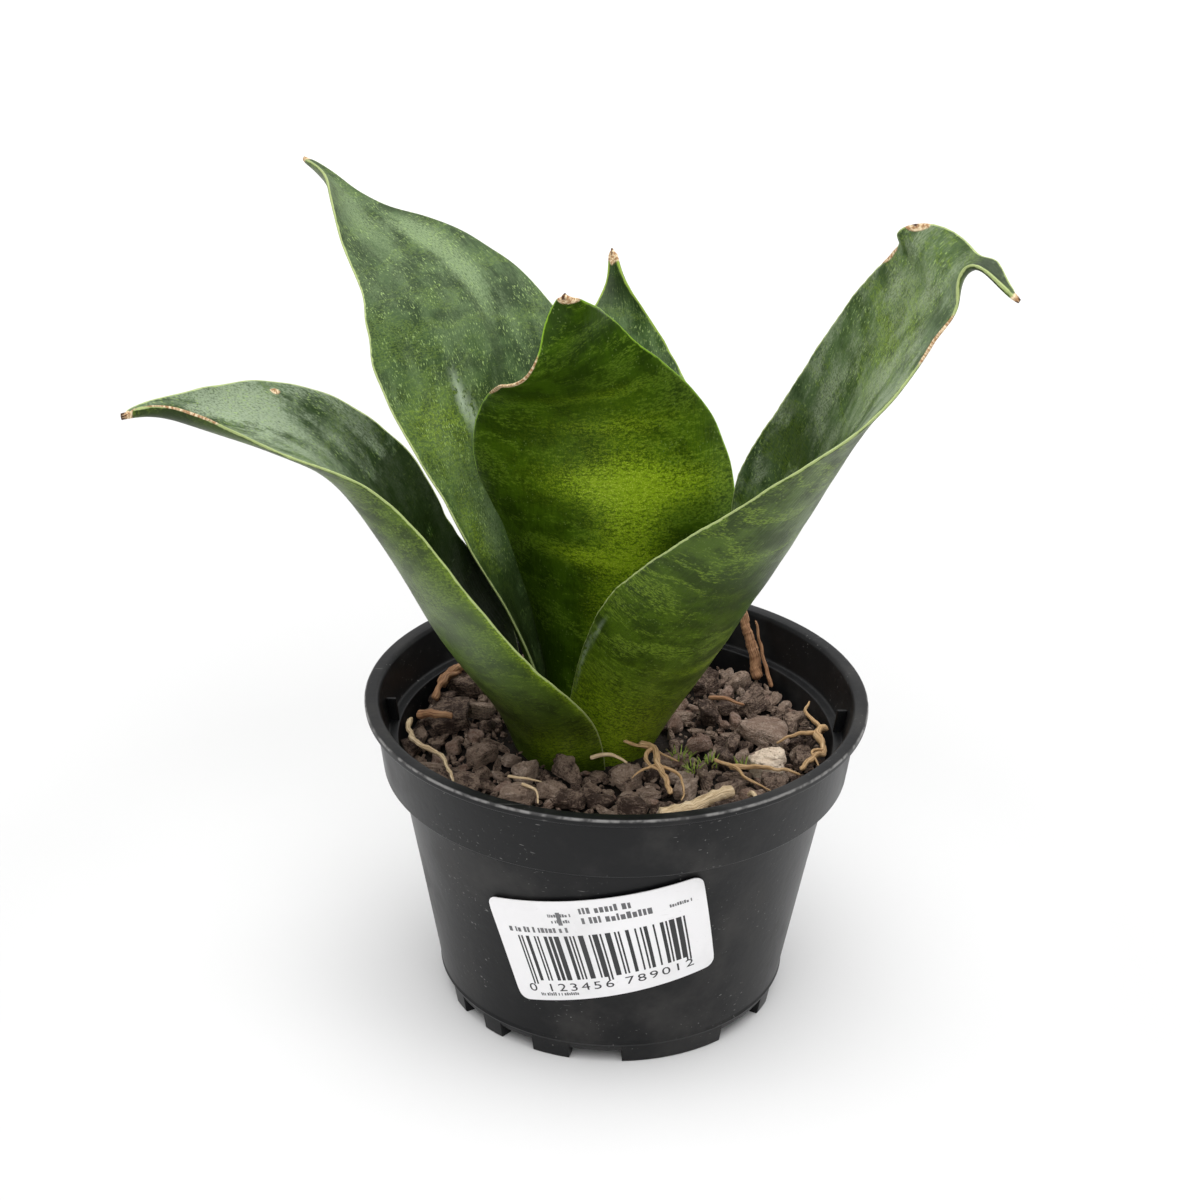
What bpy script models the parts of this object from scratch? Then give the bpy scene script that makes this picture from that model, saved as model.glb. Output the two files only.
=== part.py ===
"""A small snake plant in a round nursery pot: pot, price label, growing medium, rhizome, leaves and mulch.

Frame: metres, +Z up, the front is -Y. The origin is the bottom centre of the whole plant's box, on the
surface that the pot stands on. Sizes below are measured from the pot's own axis, which the plant's empty
then carries to its place beside the origin, because the leaves reach further to the left and front.
"""

import math
import random

import bmesh
import bpy
import numpy as np
from mathutils import Euler, Vector

MM = 0.001
GAP = 0.3 * MM
POT_AXIS = Vector((15.1 * MM, 5.7 * MM, 0))

# Pot, in metres. Radii are to the outer side unless the name says otherwise.
POT_HEIGHT = 71 * MM
POT_SIDES = 72
FOOT_RADIUS = 37.5 * MM
FOOT_WIDTH = 3.0 * MM
FOOT_HEIGHT = 3.0 * MM
FLOOR_UNDERSIDE = 3.4 * MM
FLOOR_TOP = 4.6 * MM
WALL = 1.0 * MM
BODY_TOP_RADIUS = 48.6 * MM
LEDGE_HEIGHT = 61.5 * MM
BAND_BOTTOM = 55 * MM
BAND_BOTTOM_RADIUS = 50.9 * MM
BAND_TOP_RADIUS = 52.8 * MM
LIP_RADIUS = 55 * MM
LIP_THICKNESS = 1.8 * MM
RIDGE_HEIGHT = 5.2 * MM
RIDGE_DEPTH = 0.35 * MM
# Each foot is (middle azimuth, width along the ring) in degrees. The same five are repeated half a turn on.
FEET = ((292, 36), (250, 13), (227, 8), (208, 7), (335, 8))
RIB_AZIMUTHS = (2, 92, 176, 272)
RIB_INNER_RADIUS = 47.8 * MM
RIB_LEAN = 0.8 * MM
RIB_THICKNESS = 1.0 * MM
RIB_TOP = 67 * MM
# How far a rib is sunk into the wall that it is moulded to.
RIB_SINK = 0.3 * MM

# Price label on the front of the pot's body.
LABEL_WIDTH = 45.5 * MM
LABEL_HEIGHT = 27 * MM
LABEL_THICKNESS = 0.35 * MM
LABEL_CORNER = 2.2 * MM
LABEL_MIDDLE_HEIGHT = 33.6 * MM
LABEL_MIDDLE_AZIMUTH = 267.5
LABEL_TILT = 13
# The adhesive leaves the label this far off the wall.
LABEL_STANDOFF = 0.65 * MM
LABEL_SPANS = 12

# Growing medium and rhizome.
MEDIUM_LEVEL = 56.5 * MM
MEDIUM_CLEARANCE = WALL + 2 * GAP
MEDIUM_SIDES = 56
MEDIUM_FLOOR_RADII = (20 * MM, 34.4 * MM)
MEDIUM_RING_STEP = 5.8 * MM
MEDIUM_RINGS = 7
CROWN = Vector((-6 * MM, 7 * MM, 50 * MM))
POCKET_FLOOR = 38 * MM
POCKET_RADIUS = 18.5 * MM
POCKET_MOUTH_RADIUS = 23.5 * MM
POCKET_MOUTH_HEIGHT = 60 * MM
POCKET_SIDES = 32
RHIZOME_RADIUS = 16 * MM
RHIZOME_SIDES = 28

# Leaves. Stations are fractions of the leaf's length. Headings are the compass direction that the leaf
# runs towards (0 is +X, 90 is +Y), leans are from the vertical, both in degrees. Left and right are the
# half widths in millimetres, seen along the leaf from its base with the inner face up. Cups are how far
# each half bends inwards from the midrib to its margin, and twists turn the blade about its midrib.
STATIONS = (0, 0.2, 0.4, 0.6, 0.8, 0.92, 1)
LEAVES = {
    "leaf_outer_left": {
        "sheath": 14.2,
        "length": 145,
        "stations": STATIONS,
        "heading": (215, 221, 211, 194, 210, 210, 214),
        "lean": (15, 36, 28, 32, 66, 70, 93),
        "left": (18, 26, 25, 20, 12, 7, 1.5),
        "right": (15, 22, 23, 21, 13, 5, 0.8),
        "cup": (66, 38, 60, 60, 36, 60, 75),
        "twist": (0, -4, -16, -6, -16, -10, 8),
    },
    "leaf_outer_right": {
        "sheath": 11.4,
        "length": 187,
        "stations": (0, 0.21, 0.42, 0.63, 0.84, 0.895, 0.935, 1),
        "heading": (309, 302, 311, 321, 325, 302, 280, 300),
        "lean": (24, 38, 34, 27, 34, 44, 85, 145),
        "left": (14, 21, 30, 25.5, 15, 7, 1.8, 0.8),
        "right": (14, 24, 29, 24.5, 9, 6, 2.6, 0.8),
        "cup": (69, 82, 89, 60, 26, 30, 40, 62),
        "twist": (0, 2, 16, 24, 42, 42, 35, -8),
    },
    "leaf_back_left": {
        "sheath": 8.8,
        "length": 157,
        "stations": STATIONS,
        "heading": (135, 132, 135, 125, 150, 134, 145),
        "lean": (0, 18, 19, 38, 68, 64, 75),
        "left": (14, 20, 25, 28, 18.5, 8, 1),
        "right": (11, 16, 23, 23, 12, 3.5, 0.8),
        "cup": (84, 61, 39, 4, 9, 40, 52),
        "twist": (0, 0, -10, 2, -5, 14, 4),
    },
    "leaf_front": {
        "sheath": 6.2,
        "length": 134,
        "stations": STATIONS,
        "heading": (267, 273, 275, 262, 254, 259, 247),
        "lean": (2, 3, 18, 7, 41, 28, 34),
        "left": (9, 17, 28.5, 28.5, 14.5, 8, 2),
        "right": (8, 13.5, 21, 26.5, 17, 7, 0.8),
        "cup": (80, 65, 37, 24, 17, 6, 32),
        "twist": (0, -13, -18, 3, 24, 43, -6),
    },
    "leaf_centre": {
        "sheath": 3.4,
        "length": 114,
        "stations": STATIONS,
        "heading": (82, 78, 77, 83, 98, 88, 90),
        "lean": (7, 13, 16, 22, 31, 33, 24),
        "left": (7.5, 12, 17.5, 18, 10.5, 1.5, 0.6),
        "right": (7.5, 12.5, 18.5, 22, 12.5, 5.5, 0.8),
        "cup": (110, 70, 45, 33, 28, 50, 66),
        "twist": (0, 1, 1, 0, 4, 1, -9),
    },
}
LEAF_ROWS = 26
LEAF_COLUMNS = 8
SPINE_STEPS = 240
NARROWEST_HALF_WIDTH = 0.5
MARGIN_HALF_THICKNESS = 0.35 * MM
MIDRIB_EXTRA = 0.75 * MM

# Mulch: (x, y, length, width, height) in millimetres and the long side's direction in degrees.
BARK = (
    (-38, 8, 14, 12, 5, 20),
    (-29.5, -9, 9, 7, 5, 60),
    (-20, -16, 8, 6.5, 4.5, 10),
    (-33, -19, 12, 8, 4, 150),
    (-10, -15.5, 9, 7, 5, 100),
    (-21, -27, 9, 7, 5, 30),
    (-9, -27, 8, 7, 4, 70),
    (2, -18, 9, 7, 5, 20),
    (3.5, -30, 8, 6, 4.5, 140),
    (-33, 25, 12, 9, 5, 40),
    (-20, 31, 11, 8, 5, 110),
    (-5, 37, 11, 8, 5, 0),
    (9, 33, 10, 8, 5, 60),
    (21, 27, 10, 8, 5, 20),
    (33, 5, 16, 11, 4, 150),
    (21, 11, 9, 7, 5, 120),
    (31, 18.5, 10, 7, 4.5, 70),
    (15, -21, 9, 7, 4, 45),
    (24, -30, 8, 6, 4.5, 10),
    (-44, -4, 8, 6, 4, 80),
    (-39, 17.5, 7, 5.5, 4, 10),
    (24, -7.5, 8, 6, 4, 60),
    (34, -20, 8, 6, 4, 100),
    (41.5, -7, 7, 6, 4, 30),
    (-15, -38.5, 8, 6, 4, 160),
    (10, 42, 8, 6, 4, 10),
)
PEBBLE = (32.5, -11.5, 8.5, 7, 6, 20)
# A loose piece is three rings of corners: (share of its height, share of its width) from the underside up.
STONE_RINGS = ((0, 0.86), (0.45, 1.0), (1, 0.72))
STONE_SIDES = 7
STONE_UNEVENNESS = 0.16
STONE_SLOPE = 0.22

# Loose strands lying on the mulch, each a route in millimetres, with heights above the medium.
STRANDS = {
    "straw_front": {
        "radius": 1.6,
        "route": ((9.5, -33, 2.9), (17, -28.5, 2.9), (25, -22.5, 3.2)),
        "slot": "straw",
    },
    "straw_front_short": {
        "radius": 1.1,
        "route": ((7, -37.5, 1.7), (13, -36, 1.7), (18.5, -32.5, 1.9)),
        "slot": "straw",
    },
    "root_front": {
        "radius": 0.7,
        "route": ((5, -11, 8), (8, -14, 8.5), (9, -20, 8), (11, -26, 7), (11.5, -30, 6.5)),
        "slot": "dry_root",
    },
    "root_right": {
        "radius": 0.8,
        "route": ((46.5, 2, 6), (44, -3, 7), (45, -9, 6), (41, -15, 6.5), (39.5, -18, 5.8)),
        "slot": "dry_root",
    },
    "stick_back_right": {
        "radius": 1.3,
        "route": ((33, 31, 2.4), (31, 34.5, 9), (28.5, 38, 16.5)),
        "slot": "stick",
    },
    "straw_left_rim": {
        "radius": 0.9,
        "route": ((-45.5, 2, 6), (-43.5, -9, 6.5), (-38, -14, 6), (-34, -26, 6)),
        "slot": "straw",
    },
}


def clear_scene():
    for thing in list(bpy.data.objects):
        bpy.data.objects.remove(thing)


def material(name, colour, roughness):
    """A Principled material, made once for each name."""
    found = bpy.data.materials.get(name)
    if found:
        return found
    made = bpy.data.materials.new(name)
    made.use_nodes = True
    shader = made.node_tree.nodes["Principled BSDF"]
    shader.inputs["Base Color"].default_value = (*colour, 1)
    shader.inputs["Roughness"].default_value = roughness
    shader.inputs["Metallic"].default_value = 0
    return made


def pot_plastic():
    return material("pot_plastic", (0.035, 0.036, 0.039), 0.42)


def label_paper():
    return material("label_paper", (0.86, 0.87, 0.88), 0.45)


def medium_mix():
    return material("medium_mix", (0.055, 0.038, 0.028), 0.9)


def rhizome_skin():
    return material("rhizome_skin", (0.45, 0.42, 0.2), 0.6)


def leaf_flesh():
    return material("leaf_flesh", (0.07, 0.14, 0.045), 0.38)


def bark():
    return material("bark", (0.085, 0.06, 0.05), 0.85)


def pebble_stone():
    return material("pebble_stone", (0.55, 0.43, 0.31), 0.8)


def loose_fibre(slot):
    colours = {
        "straw": (0.62, 0.47, 0.27),
        "dry_root": (0.42, 0.28, 0.15),
        "stick": (0.33, 0.16, 0.08),
    }
    return material(slot, colours[slot], 0.75)


def plant_empty():
    """The empty that carries every piece from the pot's own axis to its place beside the origin."""
    found = bpy.data.objects.get("plant")
    if found:
        return found
    empty = bpy.data.objects.new("plant", None)
    empty.location = POT_AXIS
    bpy.context.scene.collection.objects.link(empty)
    return empty


def add_object(name, points, faces, finish, smooth_angle=40):
    """One closed mesh object from points and faces, with its faces turned outwards."""
    mesh = bpy.data.meshes.new(name)
    mesh.from_pydata([tuple(p) for p in points], [], [tuple(f) for f in faces])
    shell = bmesh.new()
    shell.from_mesh(mesh)
    bmesh.ops.recalc_face_normals(shell, faces=shell.faces)
    shell.to_mesh(mesh)
    shell.free()
    mesh.materials.append(finish)
    mesh.shade_smooth()
    mesh.set_sharp_from_angle(angle=math.radians(smooth_angle))
    thing = bpy.data.objects.new(name, mesh)
    thing.parent = plant_empty()
    bpy.context.scene.collection.objects.link(thing)
    return thing


def boolean(target, cutter, operation):
    """Applies one exact Boolean through an unevaluated modifier and hides its helper."""
    step = target.modifiers.new(operation.lower() + "_" + cutter.name, "BOOLEAN")
    step.operation = operation
    step.solver = "EXACT"
    step.object = cutter
    cutter.hide_render = True
    cutter.display_type = "WIRE"


def bridge(ring_count, ring_size, closed_rings=True, start=0):
    """Quads between consecutive rings of equal size."""
    faces = []
    for ring in range(ring_count - 1):
        for side in range(ring_size if closed_rings else ring_size - 1):
            following = (side + 1) % ring_size
            low = start + ring * ring_size
            high = low + ring_size
            faces.append((low + side, low + following, high + following, high + side))
    return faces


def body_radius(height):
    """Outer radius of the pot's tapering body."""
    return FOOT_RADIUS + (BODY_TOP_RADIUS - FOOT_RADIUS) * height / LEDGE_HEIGHT


def foot_edges():
    """Azimuth spans of all feet, in degrees from 0 to 360."""
    spans = []
    for middle, width in FEET:
        for turn in (0, 180):
            low = (middle + turn - width / 2) % 360
            spans.append((low, (low + width) % 360))
    return spans


def on_a_foot(azimuth, spans):
    for low, high in spans:
        if (azimuth - low) % 360 <= (high - low) % 360:
            return True
    return False


def pot_azimuths(spans):
    """Even steps round the pot, plus a near-vertical pair of columns at each end of a foot."""
    step = 360 / POT_SIDES
    rise = 0.35
    corners = []
    for low, high in spans:
        corners += [low, low - rise, high, high + rise]
    corners = [c % 360 for c in corners]
    clear = step * 0.45
    azimuths = list(corners)
    for number in range(POT_SIDES):
        azimuth = number * step
        nearest = min(min(abs(azimuth - c), 360 - abs(azimuth - c)) for c in corners)
        if nearest > clear:
            azimuths.append(azimuth)
    return sorted(azimuths)


def pot_section():
    """Closed outline of the pot's wall as (radius, height), from the floor's underside round to its top."""
    lip_bottom = POT_HEIGHT - LIP_THICKNESS
    return (
        (FOOT_RADIUS - FOOT_WIDTH - 0.6 * MM, FLOOR_UNDERSIDE),
        (FOOT_RADIUS - FOOT_WIDTH, 0),
        (FOOT_RADIUS, 0),
        (body_radius(RIDGE_HEIGHT) - 0.1 * MM, RIDGE_HEIGHT - 0.5 * MM),
        (body_radius(RIDGE_HEIGHT) + RIDGE_DEPTH, RIDGE_HEIGHT),
        (body_radius(RIDGE_HEIGHT) + 0.1 * MM, RIDGE_HEIGHT + 0.5 * MM),
        (body_radius(30 * MM), 30 * MM),
        (BODY_TOP_RADIUS, LEDGE_HEIGHT - WALL),
        (BAND_BOTTOM_RADIUS - WALL, LEDGE_HEIGHT - WALL),
        (BAND_BOTTOM_RADIUS - WALL, BAND_BOTTOM),
        (BAND_BOTTOM_RADIUS, BAND_BOTTOM),
        (BAND_TOP_RADIUS, lip_bottom - 0.4 * MM),
        (BAND_TOP_RADIUS + 0.4 * MM, lip_bottom),
        (LIP_RADIUS - 0.5 * MM, lip_bottom + 0.1 * MM),
        (LIP_RADIUS, lip_bottom + 0.7 * MM),
        (LIP_RADIUS - 0.2 * MM, POT_HEIGHT - 0.4 * MM),
        (LIP_RADIUS - 0.8 * MM, POT_HEIGHT),
        (BAND_TOP_RADIUS - 0.5 * MM, POT_HEIGHT - 0.15 * MM),
        (BAND_TOP_RADIUS - 1.1 * MM, POT_HEIGHT - 0.9 * MM),
        (BAND_BOTTOM_RADIUS - 0.4 * MM, LEDGE_HEIGHT + 0.4 * MM),
        (BODY_TOP_RADIUS - 0.4 * MM, LEDGE_HEIGHT),
        (BODY_TOP_RADIUS - WALL, LEDGE_HEIGHT - 0.7 * MM),
        (body_radius(FLOOR_TOP) - WALL, FLOOR_TOP + 0.6 * MM),
        (body_radius(FLOOR_TOP) - WALL - 1.4 * MM, FLOOR_TOP),
    )


def make_pot():
    """The pot's wall turned round its axis. The foot ring's lowest points rise between the feet."""
    spans = foot_edges()
    azimuths = pot_azimuths(spans)
    section = pot_section()
    points = []
    for azimuth in azimuths:
        turn = math.radians(azimuth)
        raised = not on_a_foot(azimuth, spans)
        for radius, height in section:
            if raised and height == 0:
                height = FOOT_HEIGHT
                radius = min(radius, body_radius(FOOT_HEIGHT))
            points.append((radius * math.cos(turn), radius * math.sin(turn), height))
    size = len(section)
    count = len(azimuths)
    faces = []
    for ring in range(count):
        here = ring * size
        there = ((ring + 1) % count) * size
        for side in range(size - 1):
            faces.append((here + side, there + side, there + side + 1, here + side + 1))
    underside = len(points)
    points.append((0, 0, FLOOR_UNDERSIDE))
    points.append((0, 0, FLOOR_TOP))
    for ring in range(count):
        here = ring * size
        there = ((ring + 1) % count) * size
        faces.append((underside, there, here))
        faces.append((underside + 1, here + size - 1, there + size - 1))
    pot = add_object("pot", points, faces, pot_plastic(), smooth_angle=35)
    for number, azimuth in enumerate(RIB_AZIMUTHS, 1):
        boolean(pot, stacking_rib(f"rib_{number}", azimuth), "UNION")
    return pot


def stacking_rib(name, azimuth):
    """A small upright tab on the ledge, whose outer side is sunk into the band."""
    outer = BAND_BOTTOM_RADIUS - WALL / 2 + RIB_SINK
    half = RIB_THICKNESS / 2
    low = LEDGE_HEIGHT - RIB_SINK
    corners = []
    for height, reach in ((low, RIB_INNER_RADIUS), (RIB_TOP, RIB_INNER_RADIUS + RIB_LEAN)):
        corners.append((reach, -half, height))
        corners.append((outer, -half, height))
        corners.append((outer, half, height))
        corners.append((reach, half, height))
    faces = ((3, 2, 1, 0), (4, 5, 6, 7), (0, 1, 5, 4), (1, 2, 6, 5), (2, 3, 7, 6), (3, 0, 4, 7))
    rib = add_object(name, corners, faces, pot_plastic())
    rib.rotation_euler = Euler((0, 0, math.radians(azimuth)))
    return rib


def on_pot(across, up, lift):
    """A point of the label laid on the pot's tapering body, with the label's own tilt."""
    tilt = math.radians(LABEL_TILT)
    along = across * math.cos(tilt) - up * math.sin(tilt)
    rise = across * math.sin(tilt) + up * math.cos(tilt)
    height = LABEL_MIDDLE_HEIGHT + rise
    turn = math.radians(LABEL_MIDDLE_AZIMUTH) + along / body_radius(LABEL_MIDDLE_HEIGHT)
    radius = body_radius(height) + lift
    return (radius * math.cos(turn), radius * math.sin(turn), height)


def make_label():
    """A thin curved plate that follows the wall. Shorter columns at its ends round its corners."""
    columns = []
    half = LABEL_WIDTH / 2
    corner_steps = [LABEL_CORNER * (1 - math.cos(math.radians(a))) for a in (0, 30, 60, 90)]
    straight = LABEL_WIDTH - 2 * LABEL_CORNER
    inner_steps = [LABEL_CORNER + straight * n / LABEL_SPANS for n in range(1, LABEL_SPANS)]
    offsets = corner_steps + inner_steps + [LABEL_WIDTH - s for s in reversed(corner_steps)]
    for offset in offsets:
        edge = min(offset, LABEL_WIDTH - offset)
        cut = 0
        if edge < LABEL_CORNER:
            cut = LABEL_CORNER - math.sqrt(max(LABEL_CORNER**2 - (LABEL_CORNER - edge) ** 2, 0))
        columns.append((offset - half, LABEL_HEIGHT / 2 - cut))
    low = LABEL_STANDOFF
    high = low + LABEL_THICKNESS
    points = []
    for across, reach in columns:
        for up, lift in ((-reach, low), (-reach, high), (reach, high), (reach, low)):
            points.append(on_pot(across, up, lift))
    faces = bridge(len(columns), 4)
    faces.append((0, 1, 2, 3))
    last = 4 * (len(columns) - 1)
    faces.append((last + 3, last + 2, last + 1, last))
    return add_object("label", points, faces, label_paper())


def medium_height(x, y):
    """Gentle hills on the growing medium's top."""
    hills = math.sin(x / (6.1 * MM) + 0.4) * math.cos(y / (7.3 * MM))
    ripples = 0.6 * math.sin((x - y) / (4.2 * MM))
    return MEDIUM_LEVEL + 0.55 * MM * (hills + ripples)


def make_medium():
    """A plug that fills the pot, with a round pocket where the rhizome sits."""
    sides = MEDIUM_SIDES
    rings = [(radius, FLOOR_TOP + GAP) for radius in MEDIUM_FLOOR_RADII]
    for height in (8 * MM, 52 * MM):
        rings.append((body_radius(height) - MEDIUM_CLEARANCE, height))
    rings.append((body_radius(BAND_BOTTOM) - MEDIUM_CLEARANCE, None))
    for ring in range(MEDIUM_RINGS, 0, -1):
        rings.append((ring * MEDIUM_RING_STEP, None))
    points = [(0, 0, FLOOR_TOP + GAP)]
    for radius, height in rings:
        for side in range(sides):
            turn = math.tau * side / sides
            x = radius * math.cos(turn)
            y = radius * math.sin(turn)
            points.append((x, y, medium_height(x, y) if height is None else height))
    points.append((0, 0, medium_height(0, 0)))
    faces = [(0, 1 + (side + 1) % sides, 1 + side) for side in range(sides)]
    faces += bridge(len(rings), sides, start=1)
    top = len(points) - 1
    last = top - sides
    faces += [(top, last + side, last + (side + 1) % sides) for side in range(sides)]
    medium = add_object("growing_medium", points, faces, medium_mix(), smooth_angle=60)
    boolean(medium, pocket_cutter(), "DIFFERENCE")
    return medium


def turned(name, section, sides, finish):
    """A solid turned round the vertical through the crown, from (radius, height) pairs bottom to top."""
    points = []
    for radius, height in section:
        for side in range(sides):
            turn = math.tau * side / sides
            x = CROWN.x + radius * math.cos(turn)
            y = CROWN.y + radius * math.sin(turn)
            points.append((x, y, height))
    faces = bridge(len(section), sides)
    faces.append(tuple(reversed(range(sides))))
    faces.append(tuple(range(len(points) - sides, len(points))))
    return add_object(name, points, faces, finish)


def pocket_cutter():
    section = (
        (POCKET_RADIUS, POCKET_FLOOR),
        (POCKET_RADIUS + 0.5 * MM, CROWN.z),
        (POCKET_MOUTH_RADIUS, POCKET_MOUTH_HEIGHT),
    )
    return turned("pocket_cutter", section, POCKET_SIDES, medium_mix())


def make_rhizome():
    """The squat underground stem that carries the leaves."""
    section = (
        (9 * MM, POCKET_FLOOR + GAP),
        (13 * MM, POCKET_FLOOR + 1.5 * MM),
        (RHIZOME_RADIUS, POCKET_FLOOR + 5 * MM),
        (RHIZOME_RADIUS, CROWN.z - 1.6 * MM),
        (RHIZOME_RADIUS - 0.5 * MM, CROWN.z - GAP),
    )
    return turned("rhizome", section, RHIZOME_SIDES, rhizome_skin())


def smooth_values(stations, values, at):
    """Cubic curve through values at uneven stations, with slopes taken from the neighbouring spans."""
    spots = np.asarray(stations, float)
    heights = np.asarray(values, float)
    widths = np.diff(spots)
    slopes = np.diff(heights) / widths
    tangents = np.empty_like(heights)
    tangents[0] = slopes[0]
    tangents[-1] = slopes[-1]
    tangents[1:-1] = (slopes[:-1] * widths[1:] + slopes[1:] * widths[:-1]) / (widths[:-1] + widths[1:])
    span = np.clip(np.searchsorted(spots, at, side="right") - 1, 0, len(widths) - 1)
    t = (at - spots[span]) / widths[span]
    start = (2 * t**3 - 3 * t**2 + 1) * heights[span]
    leaving = (t**3 - 2 * t**2 + t) * widths[span] * tangents[span]
    end = (3 * t**2 - 2 * t**3) * heights[span + 1]
    arriving = (t**3 - t**2) * widths[span] * tangents[span + 1]
    return start + leaving + end + arriving


def leaf_direction(leaf, at):
    """Unit vectors along the midrib and the heading in radians."""
    lean = np.radians(smooth_values(leaf["stations"], leaf["lean"], at))
    heading = np.radians(smooth_values(leaf["stations"], leaf["heading"], at))
    level = np.sin(lean)
    along = np.stack([level * np.cos(heading), level * np.sin(heading), np.cos(lean)], axis=1)
    return along, heading


def leaf_midrib(leaf, at):
    """Points on the midrib, found by adding up short steps from the sheath on the rhizome."""
    steps = np.linspace(0, 1, SPINE_STEPS + 1)
    along, heading = leaf_direction(leaf, steps)
    reach = leaf["sheath"] * MM
    outwards = np.array((math.cos(heading[0]), math.sin(heading[0]), 0))
    root = np.array(CROWN) + reach * outwards
    moves = (along[1:] + along[:-1]) / 2 * leaf["length"] * MM / SPINE_STEPS
    midrib = np.concatenate([[[0, 0, 0]], np.cumsum(moves, axis=0)]) + root
    return np.stack([np.interp(at, steps, midrib[:, axis]) for axis in range(3)], axis=1)


def half_width(leaf, side, at):
    """Width from the midrib to one margin, never quite closing at the tip."""
    width = smooth_values(leaf["stations"], leaf[side], at)
    return np.maximum(width, NARROWEST_HALF_WIDTH) * MM


def leaf_middle_surface(leaf, at, across):
    """The blade's middle surface: each cross-section is an arc that cups inwards from the midrib."""
    midrib = leaf_midrib(leaf, at)
    along, heading = leaf_direction(leaf, at)
    level_side = np.stack([-np.sin(heading), np.cos(heading), np.zeros_like(heading)], axis=1)
    level_inner = np.cross(along, level_side)
    twist = np.radians(smooth_values(leaf["stations"], leaf["twist"], at))[:, None]
    side = level_side * np.cos(twist) + level_inner * np.sin(twist)
    inner = level_inner * np.cos(twist) - level_side * np.sin(twist)
    left = half_width(leaf, "left", at)
    right = half_width(leaf, "right", at)
    cup = np.radians(smooth_values(leaf["stations"], leaf["cup"], at))
    bend = np.maximum(cup / ((left + right) / 2), 1e-3)[:, None]
    half = np.where(across[None] > 0, left[:, None], right[:, None])
    reach = across[None] * half
    sideways = (np.sin(bend * reach) / bend)[..., None]
    inwards = ((1 - np.cos(bend * reach)) / bend)[..., None]
    surface = midrib[:, None] + side[:, None] * sideways + inner[:, None] * inwards
    level = (CROWN.z - surface[0, :, 2]) / along[0, 2]
    surface[0] += along[0] * level[:, None]
    return surface


def grid_normals(surface):
    """Unit normals of a grid of points, on the side that faces the plant's middle at the base."""
    lengthwise = np.gradient(surface, axis=0)
    crosswise = np.gradient(surface, axis=1)
    normals = np.cross(lengthwise, crosswise)
    return normals / np.linalg.norm(normals, axis=2, keepdims=True)


def make_leaf(name, leaf):
    """A closed blade: rings run over the inner face and back over the outer face."""
    at = np.linspace(0, 1, LEAF_ROWS + 1)
    across = np.linspace(-1, 1, LEAF_COLUMNS + 1)
    surface = leaf_middle_surface(leaf, at, across)
    normals = grid_normals(surface)
    normals[0, :, 2] = 0
    fullness = (1 - across[None] ** 2) * (1 - 0.5 * at[:, None])
    half = MARGIN_HALF_THICKNESS + MIDRIB_EXTRA * fullness
    front = surface + normals * half[..., None]
    back = surface - normals * half[..., None]
    rings = np.concatenate([front, back[:, ::-1]], axis=1)
    size = rings.shape[1]
    faces = bridge(len(rings), size)
    faces.append(tuple(reversed(range(size))))
    last = size * (len(rings) - 1)
    faces.append(tuple(range(last, last + size)))
    return add_object(name, rings.reshape(-1, 3), faces, leaf_flesh(), smooth_angle=50)


def stone_points(length, width, height, chance):
    """A knobbly low stone: rings of uneven corners over a flat underside."""
    points = []
    for level, spread in STONE_RINGS:
        for side in range(STONE_SIDES):
            turn = math.tau * side / STONE_SIDES
            uneven = spread * (1 - STONE_UNEVENNESS * chance.random())
            fall = STONE_SLOPE * chance.random() * (level == 1)
            x = math.cos(turn) * length / 2 * uneven
            y = math.sin(turn) * width / 2 * uneven
            points.append((x, y, level * height * (1 - fall)))
    return points


def seat_height(x, y, reach):
    """Highest point of the growing medium under a piece of this reach, plus the gap."""
    heights = []
    for part in (0, 0.35, 0.7, 1):
        for step in range(12):
            turn = math.tau * step / 12
            away_x = reach * part * math.cos(turn)
            away_y = reach * part * math.sin(turn)
            heights.append(medium_height(x + away_x, y + away_y))
    return max(heights) + GAP


def make_stone(name, place, finish, seed):
    """One loose piece standing on the growing medium."""
    x, y, length, width, height, direction = place
    chance = random.Random(seed)
    points = stone_points(length * MM, width * MM, height * MM, chance)
    faces = bridge(len(STONE_RINGS), STONE_SIDES)
    faces.append(tuple(reversed(range(STONE_SIDES))))
    faces.append(tuple(range(len(points) - STONE_SIDES, len(points))))
    stone = add_object(name, points, faces, finish, smooth_angle=30)
    reach = max(length, width) / 2 * MM
    stone.location = (x * MM, y * MM, seat_height(x * MM, y * MM, reach))
    stone.rotation_euler = Euler((0, 0, math.radians(direction)))
    return stone


def make_strand(name, strand):
    """A tube along a short route, round in section, with flat ends."""
    curve = bpy.data.curves.new(name, "CURVE")
    curve.dimensions = "3D"
    curve.bevel_depth = strand["radius"] * MM
    curve.bevel_resolution = 1
    curve.use_fill_caps = True
    spline = curve.splines.new("POLY")
    route = strand["route"]
    spline.points.add(len(route) - 1)
    for spot, (x, y, above) in zip(spline.points, route):
        spot.co = (x * MM, y * MM, MEDIUM_LEVEL + above * MM, 1)
    curve.materials.append(loose_fibre(strand["slot"]))
    thing = bpy.data.objects.new(name, curve)
    thing.parent = plant_empty()
    bpy.context.scene.collection.objects.link(thing)
    return thing


def main():
    clear_scene()
    make_pot()
    make_label()
    make_medium()
    make_rhizome()
    for name, leaf in LEAVES.items():
        make_leaf(name, leaf)
    for number, place in enumerate(BARK, 1):
        make_stone(f"bark_chip_{number:02d}", place, bark(), number)
    make_stone("pebble", PEBBLE, pebble_stone(), 99)
    for name, strand in STRANDS.items():
        make_strand(name, strand)


main()
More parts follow.
